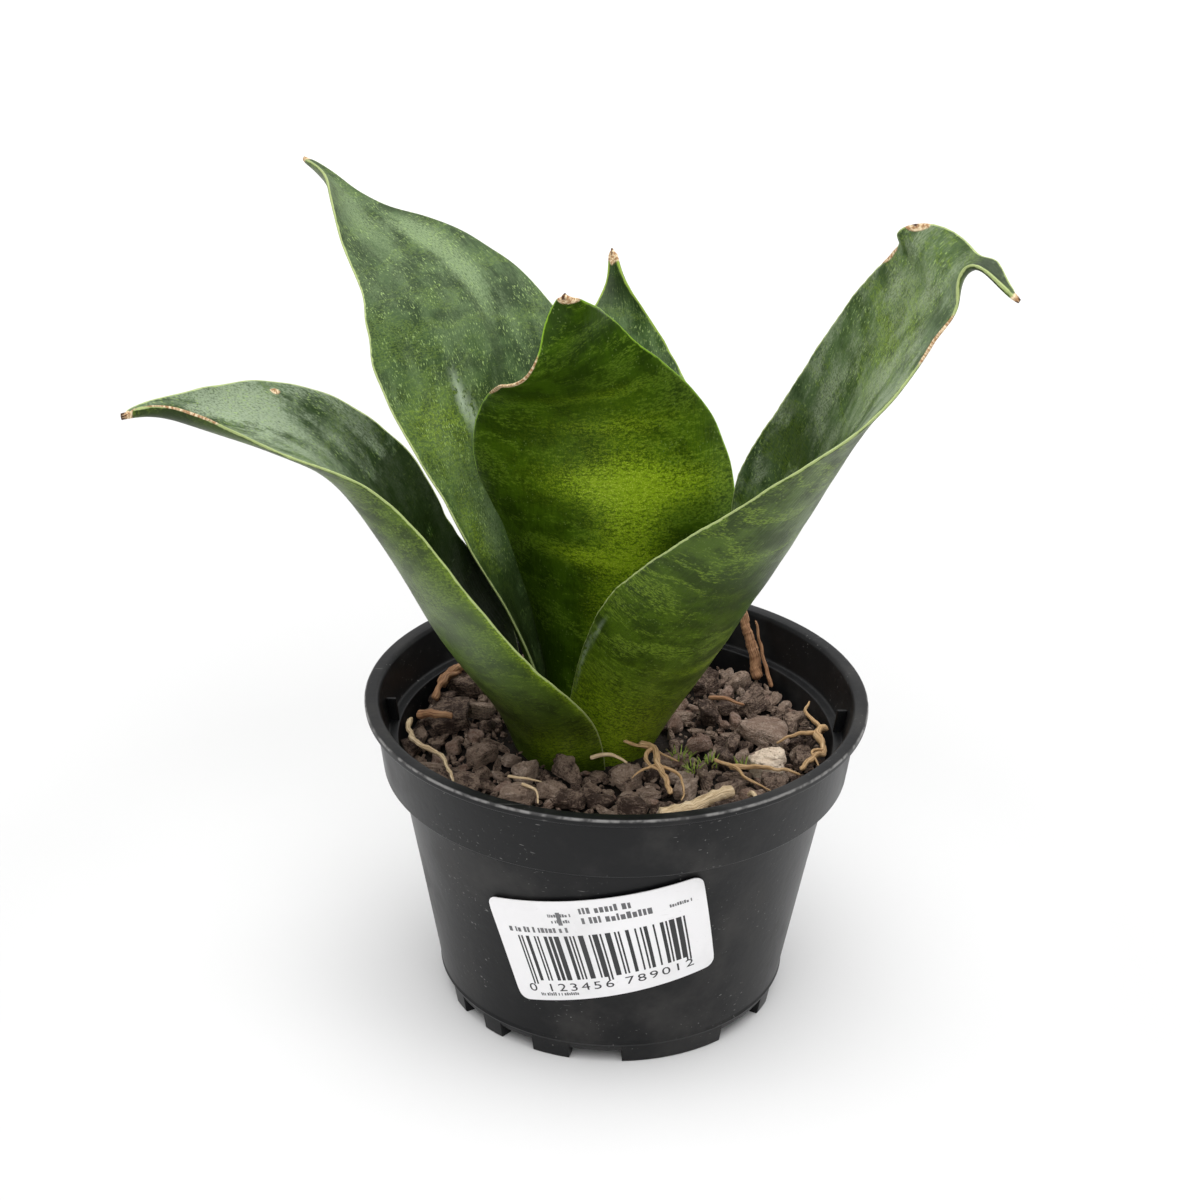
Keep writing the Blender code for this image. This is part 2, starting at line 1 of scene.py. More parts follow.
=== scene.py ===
"""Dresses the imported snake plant: nursery pot, price label, growing medium, rhizome, leaves, mulch and strands.

Everything is in metres in the part's own frame: +Z up, the front at -Y. Shapes are worked out about the
pot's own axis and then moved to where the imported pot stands.
"""

import logging
import math
from dataclasses import dataclass, field
from enum import Enum
from typing import Sequence

import bpy
import numpy as np
from mathutils import Matrix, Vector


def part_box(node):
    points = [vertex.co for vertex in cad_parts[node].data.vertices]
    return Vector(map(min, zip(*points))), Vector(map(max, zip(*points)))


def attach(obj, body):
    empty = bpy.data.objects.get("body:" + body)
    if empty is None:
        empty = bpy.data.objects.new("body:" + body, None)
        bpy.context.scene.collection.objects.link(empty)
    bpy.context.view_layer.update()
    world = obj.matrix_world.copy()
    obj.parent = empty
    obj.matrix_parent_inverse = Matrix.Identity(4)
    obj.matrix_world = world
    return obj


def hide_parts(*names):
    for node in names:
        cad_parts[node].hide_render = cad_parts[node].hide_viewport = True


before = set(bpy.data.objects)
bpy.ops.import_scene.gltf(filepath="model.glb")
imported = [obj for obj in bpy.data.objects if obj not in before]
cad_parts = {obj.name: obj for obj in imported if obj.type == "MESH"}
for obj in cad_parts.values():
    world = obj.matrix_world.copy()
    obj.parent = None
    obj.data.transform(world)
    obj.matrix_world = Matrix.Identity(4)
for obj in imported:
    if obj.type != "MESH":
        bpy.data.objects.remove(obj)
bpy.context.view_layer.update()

LOG = logging.getLogger("snake_plant")
Array = np.ndarray
Colour = tuple[float, float, float]
MM = 0.001
BODY = "root"


def pot_axis() -> Array:
    """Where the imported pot's axis meets the floor."""
    low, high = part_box("pot")
    return np.array(((low.x + high.x) / 2, (low.y + high.y) / 2, 0.0))


AXIS = pot_axis()


class Slot(Enum):
    """The record's material slots, passed along with the pieces made here."""

    POT = "pot_plastic"
    LABEL = "label_paper"
    MEDIUM = "medium_mix"
    LEAF = "leaf_flesh"
    BARK = "bark"
    PEBBLE = "pebble_stone"
    STRAW = "straw"
    ROOT = "dry_root"
    STICK = "stick"


# ---------------------------------------------------------------- surfaces


@dataclass
class Shell:
    """One or more closed surfaces.

    points is (n, 3), quads (m, 4), triangles (k, 3). values holds one row per point for each painted value.
    """

    points: Array
    quads: Array
    triangles: Array
    values: dict[str, Array] = field(default_factory=dict)

    def outward(self) -> "Shell":
        """Turns every face round when together they enclose a negative volume."""
        corners = np.concatenate([self.quads[:, [0, 1, 2]], self.quads[:, [0, 2, 3]], self.triangles])
        a, b, c = (self.points[corners[:, n]] for n in range(3))
        if np.einsum("ij,ij->i", a, np.cross(b, c)).sum() < 0:
            self.quads = self.quads[:, ::-1]
            self.triangles = self.triangles[:, ::-1]
        return self


def closed_rings(points: Array, values: dict[str, Array] | None = None, looped: bool = False) -> Shell:
    """Closes grids of points into shells: each row is a ring, and rings follow one another.

    Args:
        points: (pieces, rows, columns, 3). The last column of a ring joins its first.
        values: painted values, each (pieces, rows, columns) or with more axes after those.
        looped: whether the last ring joins the first. Otherwise a fan to its middle closes each end ring.

    Returns:
        One shell with all the pieces, facing outwards.
    """
    pieces, rows, columns = points.shape[:3]
    ring = np.arange(rows if looped else rows - 1)
    here, there = ring[:, None] * columns, ((ring + 1) % rows)[:, None] * columns
    left, right = np.arange(columns)[None], ((np.arange(columns) + 1) % columns)[None]
    quads = np.stack([here + left, here + right, there + right, there + left], axis=-1).reshape(-1, 4)
    ends = np.zeros((0, 3), int)
    flat = points.reshape(pieces, rows * columns, 3)
    painted = {}
    for name, value in (values or {}).items():
        painted[name] = value.reshape(pieces, rows * columns, -1)
    if not looped:
        flat = np.concatenate([flat, points[:, [0, -1]].mean(axis=2)], axis=1)
        for name, value in painted.items():
            grid = value.reshape(pieces, rows, columns, -1)
            painted[name] = np.concatenate([value, grid[:, [0, -1]].mean(axis=2)], axis=1)
        first = np.full(columns, rows * columns)
        base = (rows - 1) * columns
        opening = np.stack([first, right[0], left[0]], axis=1)
        closing = np.stack([first + 1, base + left[0], base + right[0]], axis=1)
        ends = np.concatenate([opening, closing])
    size = flat.shape[1]
    offset = (np.arange(pieces) * size)[:, None, None]
    return Shell(
        flat.reshape(-1, 3),
        (quads[None] + offset).reshape(-1, 4),
        (ends[None] + offset).reshape(-1, 3),
        {name: value.reshape(pieces * size, -1) for name, value in painted.items()},
    ).outward()


def gathered(shells: Sequence[Shell]) -> Shell:
    """Several shells with the same painted values as one."""
    starts = np.cumsum([0] + [len(shell.points) for shell in shells[:-1]])
    return Shell(
        np.concatenate([shell.points for shell in shells]),
        np.concatenate([shell.quads + start for shell, start in zip(shells, starts)]),
        np.concatenate([shell.triangles + start for shell, start in zip(shells, starts)]),
        {name: np.concatenate([shell.values[name] for shell in shells]) for name in shells[0].values},
    )


def filled_mesh(name: str, shell: Shell, shift: Array) -> bpy.types.Mesh:
    """A mesh from a shell.

    Args:
        name: the mesh's name.
        shell: points, faces and painted values. The value "UVMap" becomes the piece's UV map.
        shift: how far the shell is moved into the part's frame.

    Returns:
        The mesh, with smooth faces.
    """
    mesh = bpy.data.meshes.new(name)
    corners = np.concatenate([shell.quads.ravel(), shell.triangles.ravel()]).astype(np.int32)
    quads, triangles = len(shell.quads), len(shell.triangles)
    starts = np.concatenate([np.arange(quads) * 4, quads * 4 + np.arange(triangles) * 3]).astype(np.int32)
    mesh.vertices.add(len(shell.points))
    mesh.vertices.foreach_set("co", (shell.points + shift).astype(np.float32).ravel())
    mesh.loops.add(len(corners))
    mesh.loops.foreach_set("vertex_index", corners)
    mesh.polygons.add(len(starts))
    mesh.polygons.foreach_set("loop_start", starts)
    mesh.update(calc_edges=True)
    for key, value in shell.values.items():
        if key == "UVMap":
            layer = mesh.uv_layers.new(name=key)
            layer.data.foreach_set("uv", value[corners].astype(np.float32).ravel())
            continue
        kind, field_name = ("FLOAT", "value") if value.shape[1] == 1 else ("FLOAT_VECTOR", "vector")
        attribute = mesh.attributes.new(key, kind, "POINT")
        attribute.data.foreach_set(field_name, value.astype(np.float32).ravel())
    mesh.shade_smooth()
    return mesh


def place(
    name: str,
    shell: Shell,
    finish: bpy.types.Material,
    slot: Slot,
    stands_for: Sequence[str] = (),
    sharp: float | None = None,
) -> bpy.types.Object:
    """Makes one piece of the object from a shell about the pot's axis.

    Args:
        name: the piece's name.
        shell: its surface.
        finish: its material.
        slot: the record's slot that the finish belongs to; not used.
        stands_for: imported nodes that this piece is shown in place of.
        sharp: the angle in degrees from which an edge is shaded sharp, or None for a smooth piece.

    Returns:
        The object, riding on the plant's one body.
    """
    mesh = filled_mesh(name, shell, AXIS)
    if sharp is not None:
        mesh.set_sharp_from_angle(angle=math.radians(sharp))
    mesh.materials.append(finish)
    piece = bpy.data.objects.new(name, mesh)
    bpy.context.scene.collection.objects.link(piece)
    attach(piece, BODY)
    if stands_for:
        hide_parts(*stands_for)
    LOG.info("%s: %d points, %d faces", name, len(mesh.vertices), len(mesh.polygons))
    return piece


def eased(value: Array, low: float, high: float) -> Array:
    """0 below low, 1 above high and a smooth S between them."""
    share = np.clip((value - low) / (high - low), 0, 1)
    return share * share * (3 - 2 * share)


def waves(points: Array, count: int, shortest: float, longest: float, seed: int) -> Array:
    """Gentle unevenness: the mean of sine waves in random directions.

    Args:
        points: (..., 3).
        count: how many waves.
        shortest: shortest wavelength, in the points' units.
        longest: longest wavelength.
        seed: fixes the directions and phases.

    Returns:
        (...) values of about -1 to 1.
    """
    chance = np.random.default_rng(seed)
    turns = chance.normal(size=(count, 3))
    turns /= np.linalg.norm(turns, axis=1, keepdims=True)
    lengths = np.geomspace(shortest, longest, count)
    phases = chance.uniform(0, math.tau, count)
    angles = points @ (turns * (math.tau / lengths)[:, None]).T + phases
    weights = np.sqrt(lengths / longest)
    return (np.sin(angles) * weights).sum(axis=-1) / weights.sum() * 1.6


# ---------------------------------------------------------------- shader tools

Socket = bpy.types.NodeSocket
Linkable = Socket | float | int | tuple


class Wiring:
    """Adds nodes to one shader tree and joins them."""

    def __init__(self, tree: bpy.types.NodeTree) -> None:
        """Works on the given tree."""
        self.tree = tree

    def put(self, socket: Socket, value: Linkable) -> None:
        """Links a socket to another, or sets it to a constant."""
        if isinstance(value, Socket):
            self.tree.links.new(value, socket)
        elif isinstance(value, tuple) and socket.type == "RGBA" and len(value) == 3:
            socket.default_value = (*value, 1.0)
        else:
            socket.default_value = value

    def add(self, kind: str, inputs: dict | None = None, **settings: object) -> bpy.types.Node:
        """Adds a node.

        Args:
            kind: the node's type, without the leading "ShaderNode".
            inputs: values or sockets by input name or number.
            settings: the node's own properties.

        Returns:
            The node.
        """
        node = self.tree.nodes.new("ShaderNode" + kind)
        for name, value in settings.items():
            setattr(node, name, value)
        for key, value in (inputs or {}).items():
            self.put(node.inputs[key], value)
        return node

    def attribute(self, name: str, vector: bool = False) -> Socket:
        """A painted value of the piece."""
        node = self.add("Attribute", attribute_name=name, attribute_type="GEOMETRY")
        return node.outputs["Vector" if vector else "Fac"]

    def maths(self, operation: str, first: Linkable, second: Linkable, clamp: bool = False) -> Socket:
        """One sum of two numbers, held to 0 to 1 when clamped."""
        return self.add("Math", {0: first, 1: second}, operation=operation, use_clamp=clamp).outputs[0]

    def product(self, first: Linkable, second: Linkable, clamp: bool = False) -> Socket:
        """Two numbers multiplied."""
        return self.maths("MULTIPLY", first, second, clamp)

    def total(self, first: Linkable, second: Linkable, clamp: bool = False) -> Socket:
        """Two numbers added up."""
        return self.maths("ADD", first, second, clamp)

    def nudged(self, value: Linkable, cloud: Linkable, amount: float) -> Socket:
        """A number moved up where the cloud is over a half, and down where it is under."""
        return self.total(value, self.product(self.maths("SUBTRACT", cloud, 0.5), amount))

    def times(self, vector: Linkable, factor: Colour) -> Socket:
        """A vector stretched along each axis."""
        return self.add("VectorMath", {0: vector, 1: factor}, operation="MULTIPLY").outputs[0]

    def plus(self, vector: Linkable, other: Linkable) -> Socket:
        """Two vectors added up."""
        return self.add("VectorMath", {0: vector, 1: other}, operation="ADD").outputs[0]

    def noise(
        self, vector: Linkable, scale: Linkable, detail: float = 3.0, rough: float = 0.5, twist: float = 0.0
    ) -> Socket:
        """Cloudy values of about 0.2 to 0.8."""
        inputs = {"Vector": vector, "Scale": scale, "Detail": detail, "Roughness": rough, "Distortion": twist}
        return self.add("TexNoise", inputs).outputs["Fac"]

    def streaked(self, vector: Linkable, stretch: Colour, detail: float, rough: float, twist: float = 0.0) -> Socket:
        """Cloudy values drawn out or squeezed along each axis."""
        return self.noise(self.times(vector, stretch), 1.0, detail, rough, twist)

    def cells(self, vector: Linkable, scale: Linkable) -> Socket:
        """Distances within random cells."""
        return self.add("TexVoronoi", {"Vector": vector, "Scale": scale}).outputs["Distance"]

    def step(self, value: Linkable, low: Linkable, high: Linkable) -> Socket:
        """0 below low, 1 above high and smooth between; turned round when low is above high."""
        inputs = {"Value": value, "From Min": low, "From Max": high}
        return self.add("MapRange", inputs, interpolation_type="SMOOTHSTEP").outputs["Result"]

    def mix(self, share: Linkable, first: Linkable, second: Linkable) -> Socket:
        """Two colours mixed."""
        node = self.add("Mix", data_type="RGBA")
        self.put(node.inputs["Factor"], share)
        self.put(node.inputs[6], first)
        self.put(node.inputs[7], second)
        return node.outputs[2]


class Effect:
    """A shader node group with named sockets, made once and placed in each material that uses it."""

    KINDS = {"f": "NodeSocketFloat", "c": "NodeSocketColor", "v": "NodeSocketVector"}

    def __init__(self, name: str, takes: dict[str, str], gives: dict[str, str]) -> None:
        """Makes the group's tree, with f for a number, c for a colour and v for a vector."""
        self.tree = bpy.data.node_groups.new(name, "ShaderNodeTree")
        for socket, kind in takes.items():
            self.tree.interface.new_socket(socket, in_out="INPUT", socket_type=self.KINDS[kind])
        for socket, kind in gives.items():
            self.tree.interface.new_socket(socket, in_out="OUTPUT", socket_type=self.KINDS[kind])
        self.wire = Wiring(self.tree)
        self.takes = self.tree.nodes.new("NodeGroupInput").outputs
        self.gives = self.tree.nodes.new("NodeGroupOutput").inputs

    def give(self, **values: Linkable) -> None:
        """Joins the group's outputs."""
        for name, value in values.items():
            self.wire.put(self.gives[name], value)

    def used(self, wire: Wiring, **inputs: Linkable) -> bpy.types.NodeOutputs:
        """Places the group in a material and returns its outputs."""
        node = wire.tree.nodes.new("ShaderNodeGroup")
        node.node_tree = self.tree
        for name, value in inputs.items():
            wire.put(node.inputs[name], value)
        return node.outputs


class Effects:
    """The effects that several finishes share."""

    def __init__(self) -> None:
        """Builds every group once."""
        self.grain = self.make_grain()
        self.dust = self.make_dust()
        self.leaf_skin = self.make_leaf_skin()
        self.fibre = self.make_fibre()

    def make_grain(self) -> Effect:
        """Crusty mineral or bark grain: three tones by cloudy noise, with pits and cracks in its height."""
        effect = Effect(
            "crusty_grain",
            {"Place": "v", "Scale": "f", "Dark": "c", "Middle": "c", "Light": "c", "Tint": "f"},
            {"Colour": "c", "Height": "f", "Rough": "f"},
        )
        w, i = effect.wire, effect.takes
        broad = w.noise(i["Place"], w.product(i["Scale"], 0.35), 3, 0.55)
        fine = w.noise(i["Place"], w.product(i["Scale"], 1.6), 6, 0.68, 0.3)
        layered = w.noise(w.times(i["Place"], (0.35, 0.6, 2.6)), i["Scale"], 4, 0.6, 0.6)
        pits = w.cells(w.plus(i["Place"], w.times(i["Place"], (0.2, 0.0, 0.1))), w.product(i["Scale"], 1.3))
        tone = w.total(w.product(fine, 0.55), w.product(layered, 0.45))
        tone = w.nudged(tone, i["Tint"], 0.34)
        tone = w.nudged(tone, broad, 0.5)
        colour = w.mix(w.step(tone, 0.3, 0.56), i["Dark"], i["Middle"])
        colour = w.mix(w.step(tone, 0.54, 0.82), colour, i["Light"])
        colour = w.mix(w.step(pits, 0.22, 0.02), colour, i["Dark"])
        reddish = w.product(w.step(i["Tint"], 0.84, 0.9), 0.5)
        colour = w.mix(reddish, colour, w.mix(fine, (0.08, 0.03, 0.02), (0.42, 0.2, 0.14)))
        height = w.total(fine, w.product(layered, 1.5))
        height = w.total(height, w.product(w.step(pits, 0.0, 0.35), 0.5))
        effect.give(Colour=colour, Height=height, Rough=w.total(0.72, w.product(fine, 0.3)))
        return effect

    def make_dust(self) -> Effect:
        """Handling marks: broad dusty clouds, fine specks and short scratches, as masks."""
        effect = Effect("dust_and_scuffs", {"Place": "v", "Amount": "f"}, {"Dust": "f", "Scuff": "f", "Height": "f"})
        w, i = effect.wire, effect.takes
        clouds = w.step(w.noise(i["Place"], 42.0, 5, 0.62), 0.45, 0.78)
        specks = w.step(w.noise(i["Place"], 1500.0, 2, 0.5), 0.68, 0.76)
        patches = w.step(w.noise(i["Place"], 70.0, 3, 0.6), 0.46, 0.62)
        slanted = w.add("Mapping", {"Vector": i["Place"], "Rotation": (0.3, 0.5, 0.7), "Scale": (90.0, 900.0, 1400.0)})
        lines = w.step(w.noise(slanted.outputs[0], 1.0, 2, 0.5), 0.69, 0.76)
        scuff = w.product(w.maths("MAXIMUM", specks, lines), patches)
        dust = w.product(clouds, i["Amount"])
        height = w.noise(i["Place"], 520.0, 3, 0.55)
        effect.give(Dust=dust, Scuff=w.product(scuff, i["Amount"]), Height=height)
        return effect

    def make_fibre(self) -> Effect:
        """Stringy fibre running along a strand: streaks and knots by the strand's own map."""
        effect = Effect(
            "stringy_fibre",
            {"Place": "v", "Dark": "c", "Middle": "c", "Light": "c"},
            {"Colour": "c", "Height": "f"},
        )
        w, i = effect.wire, effect.takes
        streaks = w.streaked(i["Place"], (260.0, 22.0, 1.0), 4, 0.6, 0.4)
        knots = w.streaked(i["Place"], (60.0, 90.0, 1.0), 4, 0.6)
        colour = w.mix(w.step(streaks, 0.34, 0.52), i["Dark"], i["Middle"])
        colour = w.mix(w.step(streaks, 0.5, 0.72), colour, i["Light"])
        colour = w.mix(w.step(knots, 0.62, 0.74), colour, i["Dark"])
        effect.give(Colour=colour, Height=w.total(streaks, w.product(knots, 0.6)))
        return effect

    def make_leaf_skin(self) -> Effect:
        """Leaf skin: broken crossbands, lengthwise flecks, waxy bloom that is partly a painted sheen, a pale margin
        line and dried spots, with painted light, shade and highlights from the Glow, Dark and Pale marks.

        Place is the blade's own map in millimetres, across then along. Side is 1 on the inner face.
        """
        effect = Effect(
            "leaf_skin",
            {
                "Place": "v", "Side": "f", "Edge": "f", "Dry": "f", "Scrape": "f", "Glow": "f", "Dark": "f",
                "Pale": "f", "Bloom": "f",
                "InnerDark": "c", "InnerPale": "c", "OuterDark": "c", "OuterPale": "c", "GlowTone": "c",
                "MarginTone": "c", "Bands": "f",
            },
            {"Colour": "c", "Rough": "f", "Height": "f"},
        )
        w, i = effect.wire, effect.takes
        place, side = i["Place"], i["Side"]
        sway = w.noise(place, 0.06, 2, 0.5)
        shifted = w.add("CombineXYZ", {"Y": w.product(sway, 30.0)}).outputs[0]
        bands = w.noise(w.times(w.plus(place, shifted), (0.035, 0.17, 1.0)), 1.0, 2, 0.5)
        broken = w.streaked(place, (0.55, 1.3, 1.0), 5, 0.7)
        speckle = w.streaked(place, (1.5, 2.2, 1.0), 4, 0.65)
        ragged_band = w.nudged(bands, broken, 0.9)
        band = w.product(w.step(ragged_band, 0.5, 0.6), w.step(speckle, 0.42, 0.56))
        band = w.product(band, i["Bands"])
        cloud = w.noise(place, 0.13, 5, 0.62)
        streak = w.streaked(place, (1.5, 0.08, 1.0), 3, 0.6)
        tone = w.total(w.product(w.step(cloud, 0.38, 0.62), 0.6), w.product(streak, 0.8))
        tone = w.step(tone, 0.35, 1.05)
        outer = w.mix(tone, w.mix(0.42, i["OuterDark"], (0.0, 0.0, 0.0)), w.mix(0.1, i["OuterDark"], i["OuterPale"]))
        outer = w.mix(band, outer, i["OuterPale"])
        inner = w.mix(tone, w.mix(0.42, i["InnerDark"], (0.0, 0.0, 0.0)), w.mix(0.12, i["InnerDark"], i["InnerPale"]))
        inner = w.mix(w.product(band, 0.7), inner, i["OuterPale"])
        rain = w.streaked(place, (2.9, 0.9, 1.0), 3, 0.55)
        clumps = w.step(w.noise(place, 0.18, 3, 0.6), 0.4, 0.6)
        fleck = w.product(w.step(rain, 0.57, 0.64), clumps)
        pore = w.step(w.cells(w.times(place, (1.5, 0.9, 1.0)), 1.0), 0.24, 0.12)
        pore = w.product(pore, w.step(w.noise(place, 0.3, 2, 0.5), 0.44, 0.58))
        # Waxy bloom, partly a painted sheen of the overhead light: Bloom and the Pale marks lay the pale inner tone
        # over the inner face in clouds.
        wax_cloud = w.streaked(place, (0.17, 0.055, 1.0), 6, 0.7)
        fine_wax = w.streaked(place, (3.4, 1.5, 1.0), 3, 0.65)
        wax_and_sheen = w.product(w.step(wax_cloud, 0.42, 0.64), i["Bloom"])
        wax_and_sheen = w.total(wax_and_sheen, w.product(i["Pale"], w.step(wax_cloud, 0.34, 0.5)), True)
        wax_and_sheen = w.product(wax_and_sheen, w.total(0.35, w.step(fine_wax, 0.36, 0.6)), True)
        inner = w.mix(w.product(wax_and_sheen, 0.85), inner, i["InnerPale"])
        inner = w.mix(w.product(fleck, 0.75), inner, (0.3, 0.42, 0.14))
        # Pale marks also paint highlights on the outer face.
        outer = w.mix(w.product(i["Pale"], 0.7), outer, i["InnerPale"])
        colour = w.mix(side, outer, inner)
        colour = w.mix(w.product(pore, 0.26), colour, (0.34, 0.46, 0.15))
        # Painted light shining through the thin blade: Glow lifts the colour towards the glow tone in a grainy way and
        # brings out crisp bright flecks.
        sparks = w.streaked(place, (1.7, 1.9, 1.0), 3, 0.7)
        glow_grain = w.total(w.step(sparks, 0.49, 0.57), w.product(w.step(broken, 0.44, 0.58), 0.5))
        glow = w.product(i["Glow"], w.total(0.2, w.product(glow_grain, 0.8)), True)
        colour = w.mix(glow, colour, i["GlowTone"])
        crisp = w.step(w.streaked(place, (3.3, 3.0, 1.0), 2, 0.6), 0.55, 0.63)
        crisp = w.product(w.product(crisp, w.step(broken, 0.44, 0.56)), i["Glow"], True)
        colour = w.mix(w.product(crisp, 0.95), colour, (0.47, 0.58, 0.06))
        # Painted shade: Dark darkens the skin in clouds where the Dark marks lie, mostly where the leaves shade one
        # another.
        shade = w.product(i["Dark"], w.step(cloud, 0.3, 0.5), True)
        colour = w.mix(w.product(shade, 0.85), colour, (0.008, 0.018, 0.002))
        ragged = w.streaked(place, (0.9, 0.35, 1.0), 4, 0.6)
        margin = w.step(w.nudged(i["Edge"], ragged, 0.7), 0.34, 0.12)
        colour = w.mix(w.product(margin, 0.8), colour, i["MarginTone"])
        dried = w.step(w.nudged(i["Dry"], ragged, 0.5), 0.4, 0.6)
        tan = w.mix(w.step(speckle, 0.4, 0.62), (0.34, 0.18, 0.08), (0.78, 0.64, 0.42))
        colour = w.mix(dried, colour, tan)
        burnt = w.step(w.nudged(i["Dry"], broken, 0.6), 1.05, 1.35)
        colour = w.mix(burnt, colour, (0.05, 0.022, 0.012))
        torn = w.step(w.streaked(place, (0.8, 0.5, 1.0), 4, 0.7), 0.38, 0.5)
        torn = w.product(torn, i["Scrape"], True)
        colour = w.mix(w.product(torn, 0.8), colour, (0.42, 0.5, 0.38))
        rough = w.mix(w.step(cloud, 0.35, 0.65), (0.46,) * 3, (0.36,) * 3)
        rough = w.mix(dried, rough, (0.8,) * 3)
        ribs = w.streaked(place, (1.7, 0.05, 1.0), 3, 0.55)
        height = w.total(w.product(ribs, 0.7), w.product(fine_wax, 0.35))
        height = w.total(height, w.product(dried, 0.8))
        height = w.maths("SUBTRACT", height, w.product(torn, 0.2))
        effect.give(Colour=colour, Rough=w.add("RGBToBW", {0: rough}).outputs[0], Height=height)
        return effect


def new_finish(name: str) -> tuple[bpy.types.Material, Wiring, bpy.types.Node]:
    """A material with its wiring and its Principled shader."""
    made = bpy.data.materials.new(name)
    made.use_nodes = True
    return made, Wiring(made.node_tree), made.node_tree.nodes["Principled BSDF"]


def bumped(wire: Wiring, shader: bpy.types.Node, height: Linkable, distance: float) -> None:
    """Feeds a height to the shader's normal, distance in metres."""
    bump = wire.add("Bump", {"Height": height, "Distance": distance, "Strength": 1.0})
    wire.put(shader.inputs["Normal"], bump.outputs["Normal"])


# ---------------------------------------------------------------- finishes


@dataclass(frozen=True)
class LeafFinish:
    """Colours of one leaf's skin, as linear red, green and blue."""

    name: str
    inner_dark: Colour = (0.036, 0.085, 0.012)
    inner_pale: Colour = (0.2, 0.28, 0.135)
    outer_dark: Colour = (0.05, 0.095, 0.006)
    outer_pale: Colour = (0.16, 0.25, 0.035)
    # Colour of the painted light shining through the blade.
    glow: Colour = (0.26, 0.4, 0.012)
    margin: Colour = (0.42, 0.5, 0.2)
    bands: float = 0.5
    # Share of waxy bloom on the inner face, partly a painted sheen.
    bloom_and_sheen: float = 0.8
    shine: float = 0.2

    def material(self, effects: Effects) -> bpy.types.Material:
        """Builds the material from the leaf skin effect."""
        made, wire, shader = new_finish(self.name)
        uv = wire.add("UVMap", uv_map="UVMap").outputs[0]
        out = effects.leaf_skin.used(
            wire,
            Place=wire.times(uv, (100.0, 100.0, 0.0)),
            Side=wire.attribute("inner"),
            Edge=wire.attribute("edge"),
            **{kind.name.title(): wire.attribute(kind.value) for kind in MarkKind},
            Bloom=self.bloom_and_sheen,
            InnerDark=self.inner_dark,
            InnerPale=self.inner_pale,
            OuterDark=self.outer_dark,
            OuterPale=self.outer_pale,
            GlowTone=self.glow,
            MarginTone=self.margin,
            Bands=self.bands,
        )
        wire.put(shader.inputs["Base Color"], out["Colour"])
        wire.put(shader.inputs["Roughness"], out["Rough"])
        shader.inputs["Specular IOR Level"].default_value = self.shine
        bumped(wire, shader, out["Height"], 0.00012)
        return made


@dataclass(frozen=True)
class CrustFinish:
    """A crusty, mineral finish: bark, stone or growing medium."""

    name: str
    dark: Colour
    middle: Colour
    light: Colour
    scale: float = 1.0
    depth: float = 0.0005
    own_map: bool = True

    def material(self, effects: Effects) -> bpy.types.Material:
        """Builds the material. With own_map it reads the piece's own grain map in millimetres."""
        made, wire, shader = new_finish(self.name)
        if self.own_map:
            spot, tint = wire.attribute("grain", vector=True), wire.attribute("tint")
        else:
            spot = wire.times(wire.add("TexCoord").outputs["Object"], (1000.0, 1000.0, 1000.0))
            tint = 0.5
        out = effects.grain.used(
            wire, Place=spot, Scale=self.scale, Dark=self.dark, Middle=self.middle, Light=self.light, Tint=tint
        )
        wire.put(shader.inputs["Base Color"], out["Colour"])
        wire.put(shader.inputs["Roughness"], out["Rough"])
        shader.inputs["Specular IOR Level"].default_value = 0.3
        bumped(wire, shader, out["Height"], self.depth)
        return made


@dataclass(frozen=True)
class FibreFinish:
    """A stringy finish for straw, roots and sticks."""

    name: str
    dark: Colour
    middle: Colour
    light: Colour

    def material(self, effects: Effects) -> bpy.types.Material:
        """Builds the material on the strand's own map."""
        made, wire, shader = new_finish(self.name)
        uv = wire.add("UVMap", uv_map="UVMap").outputs[0]
        out = effects.fibre.used(wire, Place=uv, Dark=self.dark, Middle=self.middle, Light=self.light)
        wire.put(shader.inputs["Base Color"], out["Colour"])
        shader.inputs["Roughness"].default_value = 0.75
        bumped(wire, shader, out["Height"], 0.0002)
        return made


